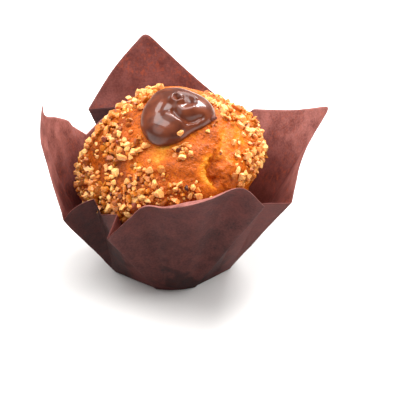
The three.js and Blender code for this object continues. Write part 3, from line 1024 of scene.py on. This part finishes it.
@dataclass(frozen=True)
class Pleat:
    """One folded pleat between two petals.

    Attributes:
        edge: Azimuth, radius and height of its five creases at the raw edge.
        foot: Azimuth and radius of the creases at the base.
        arch: A point that arches the raw edge of the first facet.
    """

    edge: tuple[Triple, ...]
    foot: tuple[tuple[float, float], ...]
    arch: Triple | None = None


@dataclass(frozen=True)
class TulipCase:
    """Square sheet of baking paper pressed over a round base.

    Attributes:
        petals: The four corners, counter-clockwise from the right.
        pleats: The four pleats, each after the petal of the same place.
        corner: Radius and height of the rounded corner at the base.
        paper: Thickness shown.
        side_columns: Columns on each side of a petal.
        pleat_columns: Columns between the creases of a pleat.
        corner_rows: Rows round the corner at the base.
        rows: Rows up the wall.
        tip_reach: Columns on each side of a tip over which it is rounded.
        tip_passes: Times that a tip is smoothed.
        crease_passes: Times that the creases are softened.
        buckles: Size and height of the shallow buckles, broad and fine.
        buckled: Rows between which the buckles grow.
        shaded_pleat_band: Columns after a petal between which its pleat is folded in and carries painted shade
            on
        its outer face: start and end of the rise, then of the fall.
        painted_light_band: The same for the facet of a pleat that stands out, which carries painted light on
            its outer face.
        painted_shade_back: Distances behind the middle over which painted shade darkens the back petal.
        painted_shade_low: Heights between which painted shade darkens the inner wall, from the top down.
        seed: Start of the draw for the buckles.
    """

    petals: tuple[Petal, ...] = (
        Petal(
            (7, 65.5, 68.5),
            (2, 2, 0),
            PetalSide(((346.5, 54.5, 55),), (1, 1, 0)),
            PetalSide(((25, 57.5, 58.5),), (1, 1, 0)),
        ),
        Petal(
            (101.5, 58.8, 79.5),
            (1, 1, 0),
            PetalSide(((82, 53.5, 62),), (0.5, 0.5, 0)),
            PetalSide(((116.5, 57, 65),), (0.5, 0.5, 0)),
        ),
        Petal(
            (187, 51, 77.5),
            (9, 9, 0),
            PetalSide(((155, 47.4, 55.3), (168, 47.9, 62.2), (185, 50.5, 70.9)), (5, 5, 0)),
            PetalSide(((196, 53, 64.5), (203, 53, 58.5), (210, 52.3, 47.3)), (5, 5, 0)),
        ),
        Petal(
            (278, 64.5, 62.6),
            (2, -18, 8),
            PetalSide(((248, 50, 43), (253, 50, 48), (259, 48.5, 52.8), (269, 55, 56.2)), (2, -10, 12)),
            PetalSide(((286, 62.5, 63.6), (298.4, 58.5, 63.1)), (1, -12, 8)),
        ),
    )
    pleats: tuple[Pleat, ...] = (
        Pleat(
            ((49, 53, 51), (53, 47, 47), (57, 42, 44), (61, 48, 46), (66, 56.5, 48)),
            ((38, 25.9), (42, 25.9), (57, 25.9), (72, 25.9), (76, 25.9)),
        ),
        Pleat(
            ((130, 57, 49), (120, 46.5, 52), (134, 44.5, 49.3), (144, 45, 45.7), (152, 47.5, 52)),
            ((118, 25.9), (121, 25.9), (136, 25.9), (151, 25.9), (156, 25.9)),
        ),
        Pleat(
            ((218, 53, 37.5), (224.3, 41.4, 45.8), (229.5, 41.4, 40), (239.2, 39.8, 41.8), (241, 50, 36)),
            ((201, 26.6), (204, 26.4), (228, 23.3), (252, 24.2), (255.5, 25.2)),
            (220, 48.5, 42.9),
        ),
        Pleat(
            ((311, 57, 50), (315, 48, 46), (319, 42, 42), (324, 47, 43), (332, 55, 42)),
            ((294, 25.2), (297.5, 24.2), (320, 23.6), (341, 26.2), (344, 26.4)),
        ),
    )
    corner: float = 1.3
    paper: float = 0.26
    side_columns: int = 60
    pleat_columns: tuple[int, ...] = (16, 18, 18, 18)
    corner_rows: int = 5
    rows: int = 60
    tip_reach: float = 6.0
    tip_passes: int = 16
    crease_passes: int = 3
    buckles: tuple[tuple[float, float], ...] = ((14.0, 0.3), (5.0, 0.1))
    buckled: tuple[float, float] = (5.0, 22.0)
    shaded_pleat_band: tuple[float, float, float, float] = (-6.0, 8.0, 26.0, 40.0)
    painted_light_band: tuple[float, float, float, float] = (36.0, 44.0, 62.0, 72.0)
    painted_shade_back: tuple[float, float] = (34.0, 48.0)
    painted_shade_low: tuple[float, float] = (36.0, 52.0)
    seed: int = 31

    def side(self, side: PetalSide, ends: Array, feet: Array, bows: Array) -> tuple[Array, Array, Array]:
        """Lay out one side of a petal.

        Args:
            side: The side.
            ends: Raw-edge points at both its ends.
            feet: Azimuth and radius at the base, at both ends.
            bows: Bows at both ends.

        Returns:
            Raw-edge points, base points and bows of its columns, evenly spaced along the raw edge. The bow
            grows as a sine up to the middle of the side and eases from there.
        """
        stops = np.concatenate([ends[:1], cylindrical(*np.array(side.through).T), ends[1:]])
        edge = spline(stops, self.side_columns + 1)[:-1]
        t = np.arange(self.side_columns)[:, None] / self.side_columns
        foot = feet[0] + (feet[1] - feet[0]) * t
        middle = np.array(side.bow)
        early = np.sin(np.pi * np.minimum(t, 0.5))
        late = smoothstep(2.0 * t, 1.0, 2.0)
        bow = bows[0] + (middle - bows[0]) * early + (bows[1] - middle) * late
        return edge, cylindrical(foot[:, 0], foot[:, 1], 0.0), bow

    def pleat(self, pleat: Pleat) -> tuple[Array, Array, Array]:
        """Lay out one pleat.

        Args:
            pleat: The pleat.

        Returns:
            Raw-edge points, base points and bows of its columns. The columns gather toward the creases as a
            cosine does, and an arch is a parabola through its point.
        """
        creases = cylindrical(*np.array(pleat.edge).T)
        foot = np.array(pleat.foot)
        base = cylindrical(foot[:, 0], foot[:, 1], 0.0)
        edges, feet = [], []
        for j, count in enumerate(self.pleat_columns):
            t = (0.5 - 0.5 * np.cos(np.pi * np.arange(count) / count))[:, None]
            top = creases[j] + t * (creases[j + 1] - creases[j])
            if j == 0 and pleat.arch:
                top = top + 4.0 * t * (1.0 - t) * (cylindrical(*pleat.arch) - (creases[0] + creases[1]) / 2.0)
            edges.append(top)
            feet.append(base[j] + t * (base[j + 1] - base[j]))
        return np.concatenate(edges), np.concatenate(feet), np.zeros((sum(self.pleat_columns), 3))

    def columns(self) -> tuple[Array, Array, Array]:
        """Lay out the columns once round.

        Returns:
            Raw-edge points, base points and the bows of each column.
        """
        parts = []
        flat = np.zeros(3)
        for k, petal in enumerate(self.petals):
            last, pleat = self.pleats[k - 1], self.pleats[k]
            tip, bow = cylindrical(*petal.tip), np.array(petal.bow)
            start, end = cylindrical(*last.edge[-1]), cylindrical(*pleat.edge[0])
            turn = 360.0 if last.foot[-1][0] > petal.tip[0] else 0.0
            low, high = np.array(last.foot[-1]) - np.array([turn, 0.0]), np.array(pleat.foot[0])
            middle = (low + high) / 2.0
            clockwise = ([start, tip], [low, middle], [flat, bow])
            counter = ([tip, end], [middle, high], [bow, flat])
            parts.append(self.side(petal.before, *map(np.array, clockwise)))
            parts.append(self.side(petal.after, *map(np.array, counter)))
            parts.append(self.pleat(pleat))
        edge, feet, bows = (np.concatenate(group) for group in zip(*parts))
        return self.round_tips(edge), feet, bows

    def round_tips(self, edge: Array) -> Array:
        """Round the sheet's corners by smoothing the raw edge beside each tip.

        Args:
            edge: Raw-edge points.

        Returns:
            The same points, with those beside the tips averaged with their neighbours many times.
        """
        period = len(edge) // len(self.petals)
        place = np.arange(len(edge)) % period
        reach = self.tip_reach
        near = smoothstep(reach - np.abs(place - self.side_columns), 0.0, reach - 1.0)[:, None]
        for _ in range(self.tip_passes):
            edge = edge + near * (self.blur(edge) - edge)
        return edge

    def blur(self, grid: Array) -> Array:
        """Average each column with its neighbours, weighted 1, 2 and 1."""
        return (np.roll(grid, 1, axis=0) + 2.0 * grid + np.roll(grid, -1, axis=0)) / 4.0

    def sheet(self) -> Array:
        """Shape the middle surface of the paper.

        Returns:
            Points by column and row: round the base corner, then up a Bezier curve of four points to the raw
            edge, with the creases softened and shallow buckles pushed along the normal.
        """
        edge, feet, bows = self.columns()
        radius = np.linalg.norm(feet, axis=1, keepdims=True)
        outward = feet / radius
        start = feet + np.array([0.0, 0.0, self.corner])
        third = (edge - start) / 3.0
        along = unit(third)
        away = unit(outward - (outward * along).sum(-1, keepdims=True) * along)
        low = start + third + away * bows[:, :1]
        high = edge - third + away * bows[:, 1:2] + along * bows[:, 2:]
        v = np.linspace(0.0, 1.0, self.rows)[None, :, None]
        weights = ((1 - v) ** 3, 3 * v * (1 - v) ** 2, 3 * v**2 * (1 - v), v**3)
        wall = sum(weight * line[:, None] for weight, line in zip(weights, (start, low, high, edge)))
        turn = np.linspace(0.0, 0.9, self.corner_rows)
        heights = self.paper / 2 + (self.corner - self.paper / 2) * turn**2
        inset = [outward * (radius - self.corner * (1.0 - share)) for share in turn]
        rounding = [flat + np.array([0.0, 0.0, height]) for flat, height in zip(inset, heights)]
        grid = np.concatenate([np.stack(rounding, axis=1), wall], axis=1)
        for _ in range(self.crease_passes):
            grid = self.blur(grid)
        noise = LatticeNoise(self.seed)
        free = smoothstep(np.arange(grid.shape[1]), *self.buckled)[None]
        buckle = sum(height * noise(grid + 50.0 * k, size) for k, (size, height) in enumerate(self.buckles))
        return grid + (buckle * free)[..., None] * self.normals(grid)

    def normals(self, grid: Array) -> Array:
        """Average the directions of the facets on either side of each column.

        Args:
            grid: Middle surface.

        Returns:
            Outward unit vectors.
        """
        along = np.gradient(grid, axis=1)
        right = unit(np.cross(np.roll(grid, -1, axis=0) - grid, along))
        left = unit(np.cross(grid - np.roll(grid, 1, axis=0), along))
        return unit(left + right)

    def build(self, material: bpy.types.Material) -> bpy.types.Object:
        """Build the closed sheet.

        Args:
            material: Its material.

        Returns:
            The case: up the outer face, over the raw edge, down the inner face and across the base.
        """
        grid = self.sheet()
        offset = self.normals(grid) * self.paper / 2
        outer, inner = grid + offset, grid - offset
        outer[:, 0, 2], inner[:, 0, 2] = 0.0, self.paper
        rings = np.concatenate([outer, inner[:, ::-1]], axis=1)
        poles = np.array([[0.0, 0.0, 0.0], [0.0, 0.0, self.paper]])
        marks = self.marks(rings)
        return closed_surface(rings, marks, poles).build("paper_case", material)

    def marks(self, rings: Array) -> dict[str, Array]:
        """Mark what the paper's finish depends on.

        Args:
            rings: Both faces by column and row, up the outer one and down the inner one.

        Returns:
            Numbers from 0 to 1 for each point: its row up the wall, whether it is on the outer face, how much
            painted shade lies on the inner wall, and whether it is in the folded-in part of a pleat, which
            takes painted shade, or in its raised facet, which takes painted light.
        """
        columns, rows = rings.shape[0], rings.shape[1] // 2
        whole = np.zeros(rings.shape[:2])
        up = np.linspace(0.0, 1.0, rows)
        # Painted shade: the back petal and the low inner wall are marked to be darkened.
        behind = 0.9 * smoothstep(rings[..., 1], *self.painted_shade_back)
        period = columns // len(self.petals)
        place = (np.arange(columns) % period - 2 * self.side_columns)[:, None] + whole
        return {
            "up": np.concatenate([up, up[::-1]]) + whole,
            "shaded_outside": np.repeat([1.0, 0.0], rows) + whole,
            "painted_shade": np.maximum(behind, 1.0 - smoothstep(rings[..., 2], *self.painted_shade_low)),
            # The folded-in part of a pleat takes painted shade, its raised facet painted light.
            "pleat": plateau(place, self.shaded_pleat_band),
            "raised": plateau(place, self.painted_light_band),
        }


class MaterialDraft:
    """Node tree of one material on its way to its output."""

    def __init__(self, name: str) -> None:
        """Start an empty material whose patterns lie in the piece's own frame.

        Args:
            name: Material name.
        """
        self.material = bpy.data.materials.new(name)
        self.material.use_nodes = True
        self.tree = self.material.node_tree
        self.tree.nodes.clear()
        self.place = self.add("TexCoord", output="Object")

    def add(
        self, kind: str, inputs: dict | None = None, output: int | str = 0, **settings: object
    ) -> Socket | None:
        """Add a shader node.

        Args:
            kind: Blender's name of the node, without the ShaderNode in front.
            inputs: Values for its sockets, or sockets to link to them, by name or place.
            output: Name or place of the output that is wanted.
            **settings: Values for the node's own settings.

        Returns:
            That output, or None for a node without outputs.
        """
        node = self.tree.nodes.new("ShaderNode" + kind)
        for name, value in settings.items():
            setattr(node, name, value)
        for key, value in (inputs or {}).items():
            if isinstance(value, Socket):
                self.tree.links.new(value, node.inputs[key])
            else:
                node.inputs[key].default_value = value
        return node.outputs[output] if node.outputs else None

    def noise(self, size_mm: float, detail: float = 3.0, low: float = 0.35, high: float = 0.65) -> Socket:
        """Lay a noise pattern of a real size.

        Args:
            size_mm: Size of its blots in millimetres.
            detail: Number of finer layers.
            low: Noise value that becomes 0.
            high: Noise value that becomes 1.

        Returns:
            Numbers from 0 to 1.
        """
        inputs = {"Vector": self.place, "Scale": 1.0 / (size_mm * MM), "Detail": detail}
        return self.add("MapRange", {0: self.add("TexNoise", inputs, "Fac"), 1: low, 2: high})

    def mark(self, label: str, low: float = 0.0, high: float = 1.0) -> Socket:
        """Read a mesh's named numbers, spread from low and high to 0 and 1."""
        numbers = self.add("Attribute", output="Fac", attribute_name=label)
        return self.add("MapRange", {0: numbers, 1: low, 2: high})

    def lay(self, under: object, over: object, mask: object, strength: object = 1.0) -> Socket:
        """Lay one colour over another.

        Args:
            under: Lower colour, as hex digits or a socket.
            over: Upper colour, as hex digits or a socket.
            mask: Where the upper colour lies, from 0 to 1.
            strength: How well it covers there.

        Returns:
            Under * (1 - mask * strength) + over * mask * strength.
        """
        share = self.add("Math", {0: mask, 1: strength}, operation="MULTIPLY", use_clamp=True)
        under, over = (linear(colour) if isinstance(colour, str) else colour for colour in (under, over))
        return self.add("Mix", {0: share, 6: under, 7: over}, 2, data_type="RGBA")


@dataclass(frozen=True)
class BakingPaper:
    """Greaseproof paper: dyed wood pulp beaten fine and pressed thin and dense.

    Attributes:
        dark: Colour where fibres lie thick; laid on the raised facets of the pleats it is painted light.
        light: Colour where they lie thin.
        painted_glint: Colour of red flecks painted as glints of light shining through, strongest where the
            painted shade lies.
        painted_shade: Colour of painted shade on the inner face, low down and on the back petal.
        shaded_outside: Colour of the outer face, the paper darkened as painted shade.
        oil_stain_and_shade: Colour of oil stains low on the outer face, and of painted shade in the folded-in
            pleats.
        glow: Colour of light that comes through.
        through: Share of light that comes through.
    """

    dark: str = "723f3a"
    light: str = "b2766e"
    painted_glint: str = "b4553a"
    painted_shade: str = "541f1c"
    shaded_outside: str = "3d1917"
    oil_stain_and_shade: str = "2a1210"
    glow: str = "b8452a"
    through: float = 0.2

    def build(self) -> bpy.types.Material:
        """Mix clumps of 6 mm and fibres of 0.8 mm. Real fibres are finer, and are drawn so coarse to show.

        Returns:
            The material.
        """
        # The eye sees a matt, cloudy brown with red flecks of painted glints, painted shade low on the inner
        # wall, on the back petal, over the outer face and in its folded-in pleats, painted light on the pleats'
        # raised facets, oil stains low on the outer face, and a warm glow where light comes through.
        draft = MaterialDraft("baking_paper")
        fibre = draft.noise(0.8, 4.0)
        pattern = draft.add("Mix", {0: 0.4, 2: draft.noise(6.0, 5.0), 3: fibre})
        # Painted shade: the inner face darkens low down and on the back petal.
        painted_shade = draft.mark("painted_shade")
        inside = draft.lay(self.dark, self.light, pattern)
        inside = draft.lay(inside, self.painted_shade, painted_shade, 0.65)
        # Painted glints: red flecks of light shining through, stronger where the painted shade lies.
        flecks = {0: draft.noise(1.4, 3.0, 0.5, 0.7), 1: draft.noise(14.0, 2.0, 0.4, 0.6)}
        strength = draft.add("MapRange", {0: painted_shade, 3: 0.3, 4: 0.7})
        inside = draft.lay(inside, self.painted_glint, draft.add("Math", flecks, operation="MULTIPLY"), strength)
        stains = {0: draft.noise(9.0, 2.0, 0.5, 0.56), 1: draft.mark("up", 0.62, 0.3)}
        # The outer face is the paper darkened as painted shade, then patterned, oil-stained low down, given
        # painted shade in the folded-in pleats and painted light on the raised facets.
        shaded_outside = self.shaded_outside
        for shade, mask, strength in (
            (self.dark, pattern, 0.45),
            (self.dark, fibre, 0.22),
            (self.oil_stain_and_shade, draft.add("Math", stains, operation="MULTIPLY"), 0.85),
            # Painted shade in the folded-in pleats.
            (self.oil_stain_and_shade, draft.mark("pleat"), 0.6),
            # Painted light: the raised facet of a pleat is lightened.
            (self.dark, draft.mark("raised"), 0.55),
        ):
            shaded_outside = draft.lay(shaded_outside, shade, mask, strength)
        colour = draft.lay(inside, shaded_outside, draft.mark("shaded_outside"))
        normal = draft.add("Bump", {"Height": fibre, "Distance": 0.03 * MM})
        look = {"Base Color": colour, "Normal": normal, "Roughness": 0.6, "Specular IOR Level": 0.25}
        glow = {"Color": draft.lay(self.dark, self.glow, pattern), "Normal": normal}
        faces = {0: self.through, 1: draft.add("BsdfPrincipled", look), 2: draft.add("BsdfTranslucent", glow)}
        draft.add("OutputMaterial", {"Surface": draft.add("MixShader", faces)})
        return draft.material


@dataclass(frozen=True)
class BakedCrust:
    """Crust of a butter muffin: sugar and egg browned in the oven over yellow crumb.

    Attributes:
        crumb: Colour of crumb that lies open.
        golden: Colour of lightly baked crust.
        amber: Colour of well baked crust.
        brown: Colour of the most baked places.
    """

    crumb: str = "dc9c40"
    golden: str = "d98018"
    amber: str = "c25c0e"
    brown: str = "8a3c0a"

    def build(self) -> bpy.types.Material:
        """Colour the crust by its browning plus freckles of 1 mm, with blisters of 0.55 and 1.4 mm.

        Returns:
            The material.
        """
        # The eye sees yellow turn to deep orange and brown where the crust rose, with small soft glints.
        draft = MaterialDraft("baked_crust")
        freckled = {0: draft.noise(1.0, 5.0, 0.5, 0.65), 1: 0.2, 2: draft.mark("bake")}
        bake = draft.add("Math", freckled, operation="MULTIPLY_ADD", use_clamp=True)
        colour = self.crumb
        for shade, low, high in ((self.golden, 0.05, 0.35), (self.amber, 0.3, 0.65), (self.brown, 0.65, 1.0)):
            colour = draft.lay(colour, shade, draft.add("MapRange", {0: bake, 1: low, 2: high}))
        broad = draft.add("Bump", {"Height": draft.noise(1.4), "Distance": 0.17 * MM})
        normal = draft.add("Bump", {"Height": draft.noise(0.55), "Distance": 0.13 * MM, "Normal": broad})
        look = {
            "Base Color": colour,
            "Normal": normal,
            "Roughness": draft.add("MapRange", {0: draft.noise(2.0, 2.0), 3: 0.28, 4: 0.55}),
            "Specular IOR Level": 0.22,
            "Subsurface Weight": 0.08,
            "Subsurface Radius": (1.0, 0.5, 0.2),
            "Subsurface Scale": 1.0 * MM,
        }
        draft.add("OutputMaterial", {"Surface": draft.add("BsdfPrincipled", look)})
        return draft.material


@dataclass(frozen=True)
class ChoppedNut:
    """Cut face of a nut, or its skin: oily flesh chopped with a blade and toasted.

    Attributes:
        name: Material name.
        pale: Colour of the palest pieces.
        deep: Colour of the deepest pieces.
        gloss: Roughness of the cut faces.
    """

    name: str
    pale: str
    deep: str
    gloss: float = 0.38

    def build(self) -> bpy.types.Material:
        """Give each piece its own tint, with a grain of 0.6 mm.

        Returns:
            The material.
        """
        # The eye sees waxy chips, each of its own tint, with light that creeps in at their edges.
        draft = MaterialDraft(self.name)
        grain = draft.noise(0.6, 2.0)
        shade = draft.add("Mix", {0: 0.25, 2: draft.mark("tint"), 3: grain})
        look = {
            "Base Color": draft.lay(self.pale, self.deep, shade),
            "Normal": draft.add("Bump", {"Height": grain, "Distance": 0.08 * MM}),
            "Roughness": self.gloss,
            "Subsurface Weight": 0.35,
            "Subsurface Radius": (1.0, 0.55, 0.2),
            "Subsurface Scale": 1.0 * MM,
        }
        draft.add("OutputMaterial", {"Surface": draft.add("BsdfPrincipled", look)})
        return draft.material


@dataclass(frozen=True)
class CocoaCream:
    """Cocoa and nut cream: oil that carries finely milled cocoa, smoothed by a spoon.

    Attributes:
        body: Colour in the thick.
        thin: Lighter colour, laid over the body in soft blots of 6 mm.
    """

    body: str = "4c2011"
    thin: str = "6e331a"

    def build(self) -> bpy.types.Material:
        """Lay a clear oily gloss over an even brown.

        Returns:
            The material.
        """
        # The eye sees dense, smooth brown with broad soft light and sharp glints from the oil on it.
        draft = MaterialDraft("cocoa_cream")
        look = {
            "Base Color": draft.lay(self.body, self.thin, draft.noise(6.0, 2.0)),
            "Normal": draft.add("Bump", {"Height": draft.noise(1.6, 1.0), "Distance": 0.015 * MM}),
            "Roughness": 0.36,
            "Specular IOR Level": 0.25,
            "Coat Weight": 0.6,
            "Coat Roughness": 0.04,
            "Subsurface Weight": 0.08,
            "Subsurface Radius": (1.0, 0.4, 0.2),
            "Subsurface Scale": 1.0 * MM,
        }
        draft.add("OutputMaterial", {"Surface": draft.add("BsdfPrincipled", look)})
        return draft.material


@dataclass(frozen=True)
class PaintedBoard:
    """Board painted with matt emulsion by roller.

    Attributes:
        paint: Colour of the paint.
    """

    paint: str = "e2e0de"

    def build(self) -> bpy.types.Material:
        """Paint it, with the faint waves of 30 mm that a roller leaves.

        Returns:
            The material.
        """
        # The eye sees a pale, even ground with no shine.
        draft = MaterialDraft("pale_floor")
        look = {
            "Base Color": linear(self.paint),
            "Normal": draft.add("Bump", {"Height": draft.noise(30.0, 2.0), "Distance": 0.01 * MM}),
            "Roughness": 0.8,
        }
        draft.add("OutputMaterial", {"Surface": draft.add("BsdfPrincipled", look)})
        return draft.material


class LampUse(Enum):
    """What a lamp's light is seen in."""

    ALL = (True, True)
    SHADE = (True, False)
    GLOSS = (False, True)


@dataclass(frozen=True)
class Softbox:
    """A square studio lamp.

    Attributes:
        name: Lamp name.
        place: Where it hangs, in metres.
        side: Length of its side, in metres.
        power: Power in watts.
        use: Whether it lights matt surfaces, shows in gloss, or both.
    """

    name: str
    place: Triple
    side: float
    power: float
    use: LampUse

    def build(self, target: Vector) -> None:
        """Hang the lamp.

        Args:
            target: Point that it faces.
        """
        lamp = bpy.data.lights.new(self.name, "AREA")
        lamp.size, lamp.energy = self.side, self.power
        item = bpy.data.objects.new(self.name, lamp)
        item.visible_diffuse, item.visible_glossy = self.use.value
        item.location = self.place
        item.rotation_euler = (target - item.location).to_track_quat("-Z", "Y").to_euler()
        bpy.context.scene.collection.objects.link(item)


@dataclass(frozen=True)
class Studio:
    """Camera, floor, lamps and surrounding light.

    Attributes:
        elevation: Height of the view over the horizon in degrees.
        distance: Distance of the camera from its target in metres.
        target: Point in the middle of the picture, in metres.
        lens: Focal length in millimetres.
        sensor: Width of the camera's sensor in millimetres.
        lamps: The softboxes.
        lit: Point that the lamps face, in metres.
        ambient: Strength of the surrounding light.
        floor_reach: Half the floor's side in metres.
    """

    elevation: float = 30.0
    distance: float = 0.7
    target: Triple = (0.0161, 0.0104, 0.018)
    lens: float = 141.6
    sensor: float = 36.0
    lamps: tuple[Softbox, ...] = (
        Softbox("key", (-0.08, 0.06, 0.75), 0.7, 10.0, LampUse.ALL),
        Softbox("back", (0.38, 0.56, 0.66), 0.3, 8.0, LampUse.ALL),
        Softbox("left", (-0.6, 0.1, 0.5), 0.5, 4.3, LampUse.SHADE),
        Softbox("right", (0.6, -0.02, 0.5), 0.5, 5.5, LampUse.SHADE),
        Softbox("fill", (0.1, -0.75, 0.5), 0.6, 0.4, LampUse.SHADE),
        Softbox("card", (-0.42, -0.46, 0.48), 0.6, 1.7, LampUse.GLOSS),
    )
    lit: Triple = (0.0, 0.0, 0.05)
    ambient: float = 0.21
    floor_reach: float = 1.5

    def build(self) -> None:
        """Set the camera, the pale floor and the lights."""
        scene = bpy.context.scene
        angle = np.radians(self.elevation)
        target = Vector(self.target)
        away = Vector((0.0, -np.cos(angle), np.sin(angle)))
        data = bpy.data.cameras.new("camera")
        data.lens, data.sensor_width = self.lens, self.sensor
        camera = bpy.data.objects.new("camera", data)
        camera.location = target + away * self.distance
        camera.rotation_euler = (-away).to_track_quat("-Z", "Y").to_euler()
        scene.collection.objects.link(camera)
        scene.camera = camera
        for lamp in self.lamps:
            lamp.build(Vector(self.lit))
        world = bpy.data.worlds.new("studio")
        world.use_nodes = True
        background = world.node_tree.nodes["Background"]
        background.inputs["Color"].default_value = linear("ffffff")
        background.inputs["Strength"].default_value = self.ambient
        scene.world = world
        scene.view_settings.view_transform = "Standard"
        self.lay_floor()

    def lay_floor(self) -> None:
        """Lay a pale matt floor under the part."""
        reach = self.floor_reach
        corners = [(-reach, -reach, 0.0), (reach, -reach, 0.0), (reach, reach, 0.0), (-reach, reach, 0.0)]
        mesh = bpy.data.meshes.new("floor")
        mesh.from_pydata(corners, [], [(0, 1, 2, 3)])
        mesh.materials.append(PaintedBoard().build())
        item = bpy.data.objects.new("floor", mesh)
        bpy.context.scene.collection.objects.link(item)


def mount(item: bpy.types.Object, node: str) -> None:
    """Let a piece ride on the part and stand for one of its nodes.

    Args:
        item: The piece.
        node: The node that it stands for, alone or with others.
    """
    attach(item, "root")
    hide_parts(node)
    log.info("%s stands for %s, %d faces", item.name, node, len(item.data.polygons))


def main() -> None:
    """Build every piece in order and keep the sizes."""
    logging.basicConfig(level=logging.INFO, format="%(message)s")
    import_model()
    Studio().build()
    mount(TulipCase().build(BakingPaper().build()), "tulip_case")
    relief = CrustRelief(MuffinForm())
    mount(MuffinBody(relief).build(BakedCrust().build()), "muffin")
    cream = CreamPat(relief)
    mount(cream.build(CocoaCream().build()), "cream")
    finishes = {
        NutKind.KERNEL: ChoppedNut("nut_flesh", "fecb7e", "cf6a14").build(),
        NutKind.TOASTED: ChoppedNut("nut_toasted_flesh", "da8424", "8c3e0c").build(),
        NutKind.SKIN: ChoppedNut("nut_skin", "8a3a1c", "34150f", 0.5).build(),
    }
    for item in ChoppedNuts(relief, cream).build(finishes):
        mount(item, "muffin")


if __name__ == "__main__":
    main()
